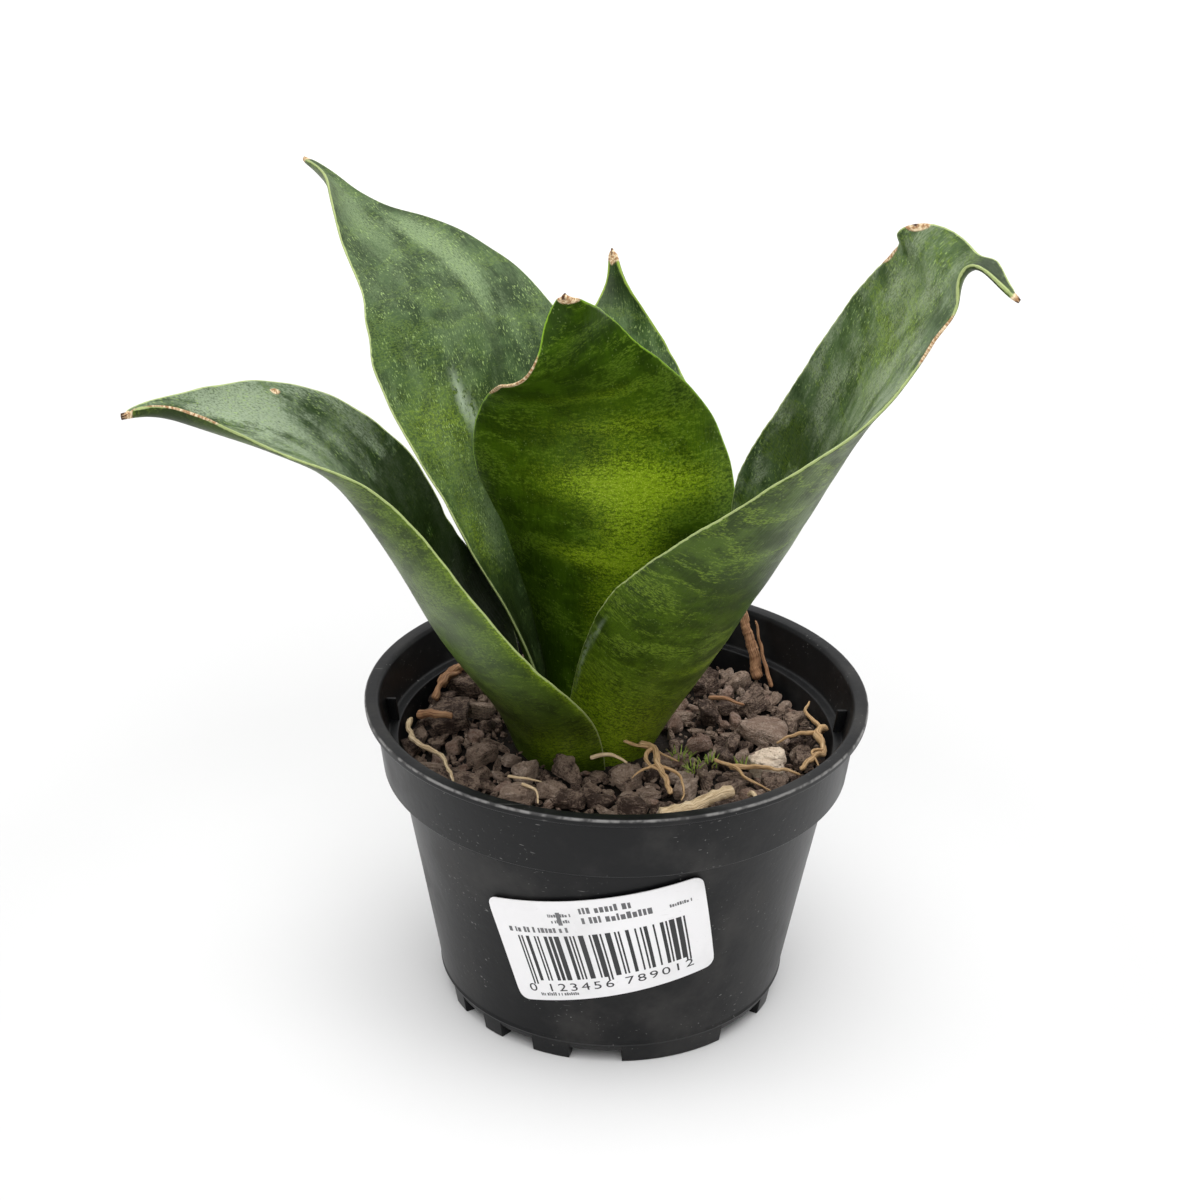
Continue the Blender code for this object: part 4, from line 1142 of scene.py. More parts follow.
def rosette() -> tuple[Leaf, ...]:
    """The five leaves, outermost first.

    Most values in the lists of stations, widths and angles are a fitting program's output, rounded, and they still
    have to be replaced.
    """
    return (
        Leaf(
            "leaf_outer_left", 14.2, 145,
            heading=(215, 221, 211, 194, 210, 210, 214), lean=(15, 36, 28, 32, 66, 70, 93),
            left=(18, 26, 25, 20, 12, 7, 1.5), right=(15, 31, 25, 21.5, 13, 5, 0.8),
            cup=(66, 66, 60, 60, 36, 60, 75), twist=(0, -14, -16, -6, -16, -10, 8),
            finish=LeafFinish(
                "leaf_skin_outer_left", bloom_and_sheen=0.68, bands=0.45, outer_dark=(0.04, 0.077, 0.003),
                outer_pale=(0.16, 0.25, 0.022), inner_dark=(0.024, 0.06, 0.007), inner_pale=(0.29, 0.36, 0.24),
            ),
            marks=(
                Mark(DRY, 1.0, 0.0, 0.012, 2.0, 1.5), Mark(DRY, 0.76, -0.85, 0.008, 0.05, 1.0),
                Mark(DRY, 0.93, 1.0, 0.06, 0.06, 0.9), Mark(GLOW, 0.1, 0.6, 0.05, 0.35, 0.7, False),
                Mark(DARK, 0.5, -0.8, 0.16, 0.6, 1.2, True), Mark(DARK, 0.3, 0.0, 0.22, 2.0, 1.8, True),
                Mark(PALE, 0.82, -0.3, 0.1, 0.8, 1.1, True), Mark(DARK, 0.93, 0.0, 0.06, 2.0, 1.0, False),
                Mark(GLOW, 0.3, 1.0, 0.25, 0.05, 0.6), Mark(PALE, 0.5, 0.75, 0.2, 0.1, 0.6, True),
                Mark(PALE, 0.4, 0.6, 0.12, 0.3, 0.35, False),
            ),
            seed=11,
        ),
        Leaf(
            "leaf_outer_right", 11.4, 183.5,
            heading=(309, 302, 311, 321, 325, 330, 315, 300, 320), lean=(24, 38, 34, 27, 30, 30, 60, 105, 118),
            left=(14, 21, 30, 27.5, 18, 15, 3, 2, 0.6), right=(14, 24, 29, 24.5, 9, 6.5, 4, 2.8, 0.6),
            cup=(69, 82, 89, 60, 26, 28, 34, 50, 62), twist=(0, 2, 16, 24, 42, 40, 30, 10, -8),
            stations=(0, 0.214, 0.428, 0.642, 0.856, 0.902, 0.927, 0.953, 1),
            finish=LeafFinish(
                "leaf_skin_outer_right", bloom_and_sheen=0.78, bands=0.75, outer_dark=(0.04, 0.08, 0.002),
                outer_pale=(0.16, 0.25, 0.022), inner_dark=(0.046, 0.095, 0.022), inner_pale=(0.27, 0.33, 0.21),
            ),
            marks=(
                Mark(DRY, 1.0, 0.0, 0.008, 2.0, 1.5), Mark(DRY, 0.9, 1.0, 0.006, 0.12, 1.3),
                Mark(DRY, 0.84, 1.0, 0.02, 0.05, 1.0), Mark(DRY, 0.86, -1.0, 0.03, 0.05, 1.0),
                Mark(SCRAPE, 0.2, -0.95, 0.05, 0.02, 0.6, False), Mark(SCRAPE, 0.27, -0.92, 0.03, 0.012, 0.5, False),
                Mark(GLOW, 0.09, -0.3, 0.09, 1.0, 1.3, False), Mark(GLOW, 0.26, 0.2, 0.015, 0.4, 0.6, False),
                Mark(PALE, 0.72, 0.05, 0.09, 0.05, 0.9, True), Mark(PALE, 0.66, -0.35, 0.12, 0.06, 0.8, True),
                Mark(PALE, 0.75, -0.75, 0.1, 0.15, 0.8, True), Mark(PALE, 0.6, -0.9, 0.12, 0.1, 0.8, True),
                Mark(DARK, 0.56, 0.6, 0.08, 0.6, 0.8, True), Mark(DARK, 0.96, 0.0, 0.03, 2.0, 1.4),
                Mark(GLOW, 0.8, 0.3, 0.1, 0.5, 0.2, True), Mark(DARK, 0.45, -0.2, 0.05, 0.5, 0.6, False),
            ),
            seed=23, rows=280,
        ),
        Leaf(
            "leaf_back_left", 8.8, 157,
            heading=(135, 132, 135, 125, 150, 134, 145), lean=(0, 18, 19, 38, 68, 64, 75),
            left=(14, 20, 25, 28, 18.5, 8, 1), right=(11, 16, 23, 23, 12, 3.5, 0.8),
            cup=(84, 61, 39, 4, 9, 40, 52), twist=(0, 0, -10, 2, -5, 14, 4),
            finish=LeafFinish("leaf_skin_back_left", bloom_and_sheen=0.24, bands=0.45, inner_dark=(0.024, 0.058, 0.009)),
            marks=(
                Mark(DRY, 1.0, 0.0, 0.012, 2.0, 1.2), Mark(SCRAPE, 0.53, 0.33, 0.035, 0.035, 0.85, True),
                Mark(SCRAPE, 0.5, 0.27, 0.03, 0.02, 0.6, True), Mark(PALE, 0.72, -0.3, 0.08, 0.22, 0.9, True),
                Mark(PALE, 0.8, -0.5, 0.04, 0.3, 0.6, True), Mark(PALE, 0.34, 0.48, 0.06, 0.18, 0.35, True),
                Mark(DARK, 0.22, 0.3, 0.1, 0.8, 1.3, True), Mark(DARK, 0.42, 0.1, 0.06, 0.5, 0.4, True),
                Mark(DARK, 0.62, -0.12, 0.14, 0.03, 0.6, True), Mark(GLOW, 0.36, 0.75, 0.06, 0.2, 0.3, True),
                Mark(GLOW, 0.5, 0.6, 0.05, 0.4, 0.3, True), Mark(PALE, 0.86, 0.2, 0.08, 0.6, 0.5, True),
            ),
            seed=37,
        ),
        Leaf(
            "leaf_front", 6.2, 134,
            heading=(267, 273, 275, 262, 254, 259, 247), lean=(2, 3, 18, 7, 41, 28, 34),
            left=(9, 17, 28.5, 28.5, 14.5, 8, 2), right=(8, 13.5, 21, 26.5, 17, 7, 0.8),
            cup=(80, 65, 37, 24, 17, 6, 32), twist=(0, -13, -18, 3, 24, 43, -6),
            finish=LeafFinish(
                "leaf_skin_front", outer_dark=(0.034, 0.08, 0.0015), outer_pale=(0.14, 0.24, 0.02), bands=0.6,
                margin=(0.24, 0.42, 0.03), shine=0.1,
            ),
            marks=(
                Mark(DRY, 1.0, 0.0, 0.014, 2.0, 1.4), Mark(DRY, 0.86, -1.0, 0.05, 0.05, 1.1),
                Mark(DRY, 0.78, -1.0, 0.03, 0.05, 1.0), Mark(GLOW, 0.57, 0.25, 0.03, 0.45, 1.9, False),
                Mark(GLOW, 0.43, 0.1, 0.018, 0.4, 1.5, False), Mark(GLOW, 0.5, 0.25, 0.12, 0.2, 1.1, False),
                Mark(GLOW, 0.32, 0.25, 0.1, 0.25, 0.5, False), Mark(GLOW, 0.62, 0.2, 0.12, 0.8, 0.22, False),
                Mark(DARK, 0.25, -0.7, 0.14, 0.4, 0.6, False), Mark(DARK, 0.4, 0.75, 0.1, 0.25, 0.8, False),
                Mark(DARK, 0.8, -0.1, 0.1, 0.3, 0.5, False), Mark(GLOW, 0.68, 0.2, 0.015, 0.5, 0.35, False),
                Mark(GLOW, 0.75, 0.1, 0.012, 0.5, 0.3, False),
            ),
            seed=41,
        ),
        Leaf(
            "leaf_centre", 3.4, 114,
            heading=(82, 78, 77, 83, 98, 88, 90), lean=(7, 13, 16, 22, 31, 33, 24),
            left=(7.5, 12, 17.5, 18, 10.5, 1.5, 0.6), right=(7.5, 12.5, 18.5, 22, 12.5, 5.5, 0.8),
            cup=(110, 70, 45, 33, 28, 50, 66), twist=(0, 1, 1, 0, 4, 1, -9),
            finish=LeafFinish("leaf_skin_centre", bloom_and_sheen=0.35, bands=0.6, margin=(0.3, 0.42, 0.06)),
            marks=(Mark(DRY, 1.0, 0.0, 0.03, 2.0, 1.4), Mark(DARK, 0.93, 0.0, 0.05, 2.0, 1.0)),
            seed=53,
        ),
    )


# ---------------------------------------------------------------- growing medium, mulch and strands


def medium_height(x: Array, y: Array) -> Array:
    """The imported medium's gentle hills, in metres."""
    hills = np.sin(x / (6.1 * MM) + 0.4) * np.cos(y / (7.3 * MM))
    return 56.5 * MM + 0.55 * MM * (hills + 0.6 * np.sin((x - y) / (4.2 * MM)))


@dataclass
class GrowingMedium:
    """The damp mix that fills the pot, up to and round the leaf bases."""

    pot: Pot
    rings: int = 90
    turns: int = 240

    def shell(self) -> Shell:
        """A plug: rings out over a crumbly top, down the wall and in across the bottom."""
        wall_low = self.pot.body_radius(8 * MM) - self.pot.wall - 0.4 * MM
        wall_high = self.pot.body_radius(56 * MM) - self.pot.wall - 0.3 * MM
        top = np.linspace(0.2 * MM, wall_high, self.rings)
        side = np.linspace(wall_high, wall_low, 12)[1:]
        bottom = np.linspace(wall_low, 0.2 * MM, 8)[1:]
        radius = np.concatenate([top, side, bottom])[:, None]
        turn = np.linspace(0, math.tau, self.turns, endpoint=False)[None]
        x, y = radius * np.cos(turn), radius * np.sin(turn)
        surface = medium_height(x, y) - 0.3 * MM
        flat = np.stack([x, y, 0 * x], axis=-1) / MM
        surface = surface + 0.45 * MM * waves(flat, 12, 1.4, 7.0, 3)
        down = np.concatenate([np.zeros(self.rings), np.linspace(0, 1, 12)[1:], np.ones(7)])[:, None]
        low = self.pot.floor_top + 0.4 * MM
        z = surface * (1 - down) + low * down
        return closed_rings(np.stack([x, y, z], axis=-1)[None])

    def build(self, effects: Effects) -> None:
        """Makes the medium and dresses the rhizome that it buries."""
        soil = CrustFinish(
            "medium_mix_damp", (0.006, 0.004, 0.003), (0.022, 0.015, 0.011), (0.08, 0.055, 0.04), 0.9, 0.0006, False
        )
        place("medium_surface", self.shell(), soil.material(effects), Slot.MEDIUM, ["growing_medium"])
        skin = CrustFinish(
            "rhizome_skin_papery", (0.2, 0.19, 0.07), (0.42, 0.4, 0.18), (0.55, 0.52, 0.3), 0.3, 0.0003, False
        )
        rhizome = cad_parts["rhizome"]
        rhizome.data.materials.clear()
        rhizome.data.materials.append(skin.material(effects))


@dataclass
class Chunks:
    """A batch of angular chips, each the space left between random cutting planes."""

    middle: Array
    size: Array
    yaw: Array
    tilt: Array
    rows: int
    columns: int
    seed: int
    planes: int = 13
    crumple: float = 0.05

    def shell(self) -> Shell:
        """Each chip reaches, in every direction, as far as the nearest of its planes, with softened edges.

        The reach is the soft minimum over the planes of distance over the direction's share of the plane's
        normal. Each chip is then stretched to fill its own size, roughened, tilted, turned and moved.
        """
        chance = np.random.default_rng(self.seed)
        count = len(self.middle)
        normals = chance.normal(size=(count, self.planes, 3)) * (1, 1, 0.45)
        normals[:, 0] = chance.normal(size=(count, 3)) * (0.16, 0.16, 0) + (0, 0, 1)
        normals[:, 1] = (0, 0, -1.0)
        normals /= np.linalg.norm(normals, axis=2, keepdims=True)
        distances = chance.uniform(0.66, 1.0, size=(count, self.planes))
        distances[:, :2] = chance.uniform(0.42, 0.6, size=(count, 2))
        rise = np.linspace(0, math.pi, self.rows + 2)[1:-1]
        turn = np.linspace(0, math.tau, self.columns, endpoint=False)
        ways = np.stack(
            np.broadcast_arrays(
                np.sin(rise)[:, None] * np.cos(turn), np.sin(rise)[:, None] * np.sin(turn), np.cos(rise)[:, None]
            ),
            axis=-1,
        )
        share = np.maximum(np.einsum("rcx,pkx->prck", ways, normals), 0) / distances[:, None, None]
        reach = np.sum(share**11, axis=-1) ** (-1 / 11)
        reach = np.minimum(reach, 1.7)
        own = ways[None] * reach[..., None]
        offset = chance.uniform(0, 40, size=(count, 1, 1, 3))
        rough = waves(own * 3.1 + offset, 9, 0.9, 4.0, self.seed + 1)
        own = own * (1 + self.crumple * rough[..., None])
        own /= np.abs(own).max(axis=(1, 2), keepdims=True)
        shape = own * self.size[:, None, None] / 2
        grain = shape / MM + offset
        tint = np.broadcast_to(chance.uniform(0, 1, (count, 1, 1)), shape.shape[:3])
        spin = self.spins()
        points = np.einsum("pxy,prcy->prcx", spin, shape) + self.middle[:, None, None]
        return closed_rings(points, {"grain": grain, "tint": tint})

    def spins(self) -> Array:
        """Each chip's rotation: tipped about its own length and width, then turned about the vertical."""
        roll, pitch, yaw = self.tilt[:, 0], self.tilt[:, 1], self.yaw
        one, zero = np.ones_like(roll), np.zeros_like(roll)
        rows_x = ((one, zero, zero), (zero, np.cos(roll), -np.sin(roll)), (zero, np.sin(roll), np.cos(roll)))
        rows_y = ((np.cos(pitch), zero, np.sin(pitch)), (zero, one, zero), (-np.sin(pitch), zero, np.cos(pitch)))
        rows_z = ((np.cos(yaw), -np.sin(yaw), zero), (np.sin(yaw), np.cos(yaw), zero), (zero, zero, one))
        turn_x, turn_y, turn_z = (np.moveaxis(np.array(rows), -1, 0) for rows in (rows_x, rows_y, rows_z))
        return turn_z @ turn_y @ turn_x


# Named chips as (length, width, height) in millimetres and the long side's direction in degrees.
CHIPS = (
    (14, 12, 5, 20), (9, 7, 5, 60), (8, 6.5, 4.5, 10), (12, 8, 4, 150), (9, 7, 5, 100), (9, 7, 5, 30),
    (8, 7, 4, 70), (9, 7, 5, 20), (8, 6, 4.5, 140), (12, 9, 5, 40), (11, 8, 5, 110), (11, 8, 5, 0),
    (10, 8, 5, 60), (10, 8, 5, 20), (16, 11, 4, 150), (9, 7, 5, 120), (10, 7, 4.5, 70), (9, 7, 4, 45),
    (8, 6, 4.5, 10), (8, 6, 4, 80), (7, 5.5, 4, 10), (8, 6, 4, 60), (8, 6, 4, 100), (7, 6, 4, 30),
    (8, 6, 4, 160), (8, 6, 4, 10),
)


@dataclass
class Mulch:
    """Bark chips over the medium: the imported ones, a bed of small ones, loose middling ones and crumbs."""

    leaf_points: Array
    inner_radius: float = 45.6 * MM
    seed: int = 5

    def named(self) -> Chunks:
        """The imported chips, each where its own node is."""
        boxes = [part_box(f"bark_chip_{number:02d}") for number in range(1, len(CHIPS) + 1)]
        middle = np.array([(np.array(low) + np.array(high)) / 2 for low, high in boxes]) - AXIS
        sizes = np.array(CHIPS, float)
        zero = np.zeros((len(CHIPS), 2))
        size = sizes[:, :3] * MM * np.array((0.99, 0.99, 1.04))
        return Chunks(middle, size, np.radians(sizes[:, 3]), zero, 40, 60, 77, 11, 0.12)

    def clear_of_leaves(self, spots: Array, reach: Array) -> Array:
        """Whether each spot keeps a chip of that reach off the leaf bases and out of the rosette."""
        gap = np.linalg.norm(spots[:, None] - self.leaf_points[None], axis=2).min(axis=1)
        heart = np.array((-6.0, 7.0)) * MM
        return (gap > reach) & (np.linalg.norm(spots - heart, axis=1) > 13 * MM)

    def scattered(self, chance: np.random.Generator, tries: int, low: float, high: float, apart: float,
                  taken: Array) -> tuple[Array, Array]:
        """Random places that keep apart from one another and from taken ones.

        Args:
            chance: the random source.
            tries: how many places are thrown.
            low: smallest size in metres.
            high: largest size in metres.
            apart: share of the two sizes' mean that two chips keep between their middles.
            taken: (n, 3) places already taken as x, y and size.

        Returns:
            The (n, 2) places and their sizes.
        """
        turn = chance.uniform(0, math.tau, tries)
        size = chance.uniform(low, high, tries)
        radius = (self.inner_radius - size * 0.42) * np.sqrt(chance.uniform(0, 1, tries))
        spots = np.stack([radius * np.cos(turn), radius * np.sin(turn)], axis=1)
        keep = self.clear_of_leaves(spots, size * 0.42)
        held = np.concatenate([taken, np.zeros((tries, 3))])
        filled = len(taken)
        for spot, across in zip(spots[keep], size[keep]):
            away = np.linalg.norm(held[:filled, :2] - spot, axis=1)
            if (away > apart * (held[:filled, 2] + across) / 2).all():
                held[filled] = (*spot, across)
                filled += 1
        fresh = held[len(taken):filled]
        return fresh[:, :2], fresh[:, 2]

    def batch(self, spots: Array, size: Array, lift: float, lean: float, rows: int, columns: int,
              seed: int) -> Chunks:
        """Chips of mixed proportions at the given places, sunk a little into what they lie on."""
        chance = np.random.default_rng(seed)
        count = len(spots)
        width = size * chance.uniform(0.45, 0.92, count)
        height = np.minimum(size * chance.uniform(0.32, 0.62, count), 4.2 * MM)
        z = medium_height(spots[:, 0], spots[:, 1]) + height * 0.32 + lift
        middle = np.concatenate([spots, z[:, None]], axis=1)
        sizes = np.stack([size * 1.08, width, height], axis=1)
        tilt = chance.normal(0, lean, (count, 2))
        return Chunks(middle, sizes, chance.uniform(0, math.tau, count), tilt, rows, columns, seed + 1, crumple=0.1)

    def build(self, effects: Effects) -> None:
        """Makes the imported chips, the bed, the loose chips and the crumbs."""
        bark = CrustFinish(
            "bark_weathered", (0.07, 0.041, 0.029), (0.45, 0.32, 0.24), (0.88, 0.7, 0.57), 1.25, 0.002
        ).material(effects)
        named = self.named()
        nodes = [f"bark_chip_{number:02d}" for number in range(1, len(CHIPS) + 1)]
        place("mulch_large", named.shell(), bark, Slot.BARK, nodes)
        chance = np.random.default_rng(self.seed)
        taken = np.concatenate([named.middle[:, :2], named.size[:, :1] * 0.86], axis=1)
        pebble_low, pebble_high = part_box("pebble")
        pebble = (np.array(pebble_low) + np.array(pebble_high)) / 2 - AXIS
        taken = np.concatenate([taken, [(pebble[0], pebble[1], 7.5 * MM)]])
        spots, size = self.scattered(chance, 5000, 5.0 * MM, 9.0 * MM, 0.82, taken)
        loose = self.batch(spots, size, 0.8 * MM, 0.26, 18, 26, 31)
        place("mulch_middling", loose.shell(), bark, Slot.BARK)
        taken = np.concatenate([taken * (1, 1, 0.8), np.concatenate([spots, size[:, None] * 0.7], axis=1)])
        spots, size = self.scattered(chance, 12000, 2.6 * MM, 5.2 * MM, 0.74, taken)
        bed = self.batch(spots, size, 0.5 * MM, 0.4, 5, 8, 41)
        place("mulch_bed", bed.shell(), bark, Slot.BARK, sharp=38)
        spots, size = self.scattered(chance, 3000, 0.8 * MM, 2.2 * MM, 1.0, np.zeros((0, 3)))
        crumbs = self.batch(spots, size, 1.2 * MM, 0.6, 4, 6, 51)
        place("mulch_crumbs", crumbs.shell(), bark, Slot.BARK, sharp=38)
        LOG.info("mulch: %d loose, %d in the bed, %d crumbs", len(loose.middle), len(bed.middle), len(spots))


@dataclass
class Pebble:
    """The pale crinkled stone on the mulch."""

    size: tuple[float, float, float] = (9.0, 7.6, 7.2)
    yaw: float = 20.0

    def build(self, effects: Effects) -> None:
        """Makes the stone where its node is."""
        low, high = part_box("pebble")
        middle = ((np.array(low) + np.array(high)) / 2 - AXIS)[None]
        chunk = Chunks(
            middle, np.array([self.size]) * MM, np.radians([self.yaw]), np.zeros((1, 2)), 56, 80, 9, 22, 0.16
        )
        stone = CrustFinish("pebble_crinkled", (0.42, 0.31, 0.22), (0.72, 0.58, 0.45), (0.85, 0.75, 0.62), 0.7, 0.0006)
        place("pebble_stone_piece", chunk.shell(), stone.material(effects), Slot.PEBBLE, ["pebble"])


@dataclass(frozen=True)
class Strand:
    """A loose strand: its route in millimetres from the pot's axis, and its radius at the start and end."""

    name: str
    route: tuple[tuple[float, float, float], ...]
    radius: float
    slot: Slot
    node: str | None = None
    tip: float = 0.35
    lumps: float = 0.16
    seed: int = 1
    rows: int = 90
    columns: int = 14

    def centreline(self, share: Array) -> Array:
        """A smooth curve through the route's points, by their distance along it, with small wiggles."""
        spots = np.array(self.route, float)
        steps = np.concatenate([[0], np.cumsum(np.linalg.norm(np.diff(spots, axis=0), axis=1))])
        steps /= steps[-1]
        slopes = np.gradient(spots, steps, axis=0)
        span = np.clip(np.searchsorted(steps, share, side="right") - 1, 0, len(steps) - 2)
        width = (steps[span + 1] - steps[span])[:, None]
        t = (share[:, None] - steps[span][:, None]) / width
        line = (2 * t**3 - 3 * t**2 + 1) * spots[span] + (t**3 - 2 * t**2 + t) * width * slopes[span]
        line = line + (3 * t**2 - 2 * t**3) * spots[span + 1] + (t**3 - t**2) * width * slopes[span + 1]
        wiggle = np.stack([waves(line, 5, 2.5, 9.0, self.seed + axis) for axis in range(3)], axis=1)
        return line + wiggle * min(0.35, self.radius * 0.5)

    def shell(self) -> Shell:
        """A tube round the centreline whose radius tapers from start to tip and swells at knots."""
        share = np.linspace(0, 1, self.rows)
        line = self.centreline(share)
        along = np.gradient(line, axis=0)
        along /= np.linalg.norm(along, axis=1, keepdims=True)
        side = np.cross(along, np.array((0.13, 0.21, 0.97)))
        side /= np.linalg.norm(side, axis=1, keepdims=True)
        over = np.cross(side, along)
        turn = np.linspace(0, math.tau, self.columns, endpoint=False)[None, :, None]
        radius = self.radius * (1 + (self.tip - 1) * share**1.5)
        radius = radius * (0.25 + 0.75 * eased(share, 0, 0.03)) * (0.2 + 0.8 * eased(1 - share, 0, 0.03))
        ring = side[:, None] * np.cos(turn) + over[:, None] * np.sin(turn)
        swell = 1 + self.lumps * waves(line[:, None] + ring * 1.5, 8, 0.8, 5.0, self.seed + 9)
        points = (line[:, None] + ring * (radius[:, None] * swell)[..., None]) * MM
        distance = np.concatenate([[0], np.cumsum(np.linalg.norm(np.diff(line, axis=0), axis=1))])
        around = np.abs(np.linspace(-1, 1, self.columns, endpoint=False)) * 0.5
        uv = np.stack(np.broadcast_arrays(around[None] * self.radius / 10, distance[:, None] / 100), axis=-1)
        return closed_rings(points[None], {"UVMap": uv[None]})


def strands() -> tuple[Strand, ...]:
    """Straw, dry roots and a stick, with the fine side roots that grow from them."""
    straw, root, stick = Slot.STRAW, Slot.ROOT, Slot.STICK
    return (
        Strand("straw_front_piece", ((9.5, -33, 59.4), (17, -28.5, 59.4), (25, -22.5, 59.7)), 1.65, straw,
               "straw_front", 0.85, 0.22, 3),
        Strand("straw_front_short_piece", ((7, -37.5, 58.2), (13, -36, 58.2), (18.5, -32.5, 58.4)), 1.15, straw,
               "straw_front_short", 0.8, 0.25, 4),
        Strand("root_front_piece", ((5, -11, 64.5), (8, -14, 65), (9, -20, 64.5), (11, -26, 63.5), (11.5, -30, 63)),
               0.75, root, "root_front", 0.7, 0.3, 5),
        Strand("root_right_piece", ((46.5, 2, 62.5), (44, -3, 63.5), (45, -9, 62.5), (41, -15, 63), (39.5, -18, 62.3)),
               0.85, root, "root_right", 0.6, 0.3, 6),
        Strand("stick_back_right_piece", ((33, 31, 58.9), (31, 34.5, 65.5), (28.5, 38, 73)), 1.3, stick,
               "stick_back_right", 0.8, 0.2, 7),
        Strand("straw_left_rim_piece", ((-45.5, 2, 62.5), (-43.5, -9, 63), (-38, -14, 62.5), (-34, -26, 62.5)), 0.62,
               straw, "straw_left_rim", 0.5, 0.4, 8),
        Strand("root_side_a", ((0.5, -9, 64.8), (4, -12.5, 65.2), (9, -13.5, 64), (13.5, -16, 63)), 0.42, root,
               tip=0.4, seed=9),
        Strand("root_side_b", ((8, -14, 65), (6.5, -17, 64.6), (7.5, -20.5, 64.2), (10, -22.5, 64)), 0.5, root,
               tip=0.5, seed=10),
        Strand("root_side_c", ((9, -20, 64.5), (5.5, -22, 64), (3.5, -24.5, 63.4)), 0.36, root, tip=0.3, seed=11),
        Strand("root_side_d", ((9, -20, 64.5), (13, -23, 64.2), (14.5, -28, 63), (14, -31, 62)), 0.4, root,
               tip=0.4, seed=12),
        Strand("root_side_e", ((24, -17, 62.6), (29, -18.5, 63.4), (34, -19, 63.6), (39.5, -20.5, 63)), 0.6, root,
               tip=0.45, seed=13),
        Strand("root_side_f", ((21, -15, 63), (25, -17.5, 63), (28, -22, 62.6), (33, -26.5, 62)), 0.42, root,
               tip=0.4, seed=14),
        Strand("root_side_g", ((44, -3, 63.5), (39, -4.5, 63.6), (35, -6.5, 62.6)), 0.5, root, tip=0.4, seed=15),
        Strand("root_side_h", ((45, -9, 62.6), (42.5, -11.5, 63.4), (43.5, -16, 62.4)), 0.4, root, tip=0.4, seed=16),
        Strand("root_side_i", ((44.6, 0, 63.4), (42, 4, 64.6), (43, 8.5, 65.2)), 0.5, root, tip=0.4, seed=17),
        Strand("stick_back_thin", ((35.5, 27, 58.6), (33.5, 31, 65), (31.5, 34, 72.4)), 0.5, stick, tip=0.5, seed=18),
        Strand("straw_back_left_a", ((-40, 21, 60.5), (-37, 25, 62.5), (-32, 29, 63)), 1.2, stick, tip=0.6,
               lumps=0.35, seed=19),
        Strand("straw_back_left_b", ((-41, 15, 61), (-38.5, 20, 63), (-35.5, 26, 62)), 0.8, stick, tip=0.5,
               lumps=0.35, seed=20),
        Strand("straw_left_small", ((-43.5, 5.5, 62), (-39, 3.0, 63.2), (-36, 3, 62.6)), 1.0, stick, tip=0.7, seed=21),
        Strand("straw_small_a", ((-20, -26, 62.4), (-17, -29, 62.8), (-16, -33.5, 62)), 0.4, straw, tip=0.5, seed=22),
        Strand("straw_small_b", ((-23, -22, 62), (-19, -24.5, 63), (-15.5, -25, 62.4)), 0.35, straw, tip=0.4, seed=23),
        Strand("straw_small_c", ((-5.5, -14, 62.6), (-1.5, -14.5, 63.4), (2.5, -16.5, 62.6)), 0.5, straw, tip=0.5,
               seed=24),
        Strand("straw_small_d", ((21, 15, 62.4), (25, 12, 63.2), (29, 11, 62.8)), 0.5, stick, tip=0.5, seed=25),
        Strand("straw_small_e", ((28, -26, 61), (29.5, -29, 62.2), (30.5, -33, 61.4)), 0.6, straw, tip=0.5, seed=26),
    )


@dataclass
class LooseStrands:
    """All the strands, dressed by kind."""

    def build(self, effects: Effects) -> None:
        """Makes one piece for each strand."""
        finishes = {
            Slot.STRAW: FibreFinish("straw_bleached", (0.3, 0.2, 0.1), (0.6, 0.45, 0.27), (0.78, 0.66, 0.46)),
            Slot.ROOT: FibreFinish("root_dry", (0.22, 0.12, 0.05), (0.48, 0.3, 0.14), (0.68, 0.5, 0.3)),
            Slot.STICK: FibreFinish("stick_bark", (0.12, 0.05, 0.025), (0.34, 0.17, 0.08), (0.5, 0.3, 0.16)),
        }
        made = {slot: finish.material(effects) for slot, finish in finishes.items()}
        for strand in strands():
            nodes = [strand.node] if strand.node else []
            place(strand.name, strand.shell(), made[strand.slot], strand.slot, nodes)


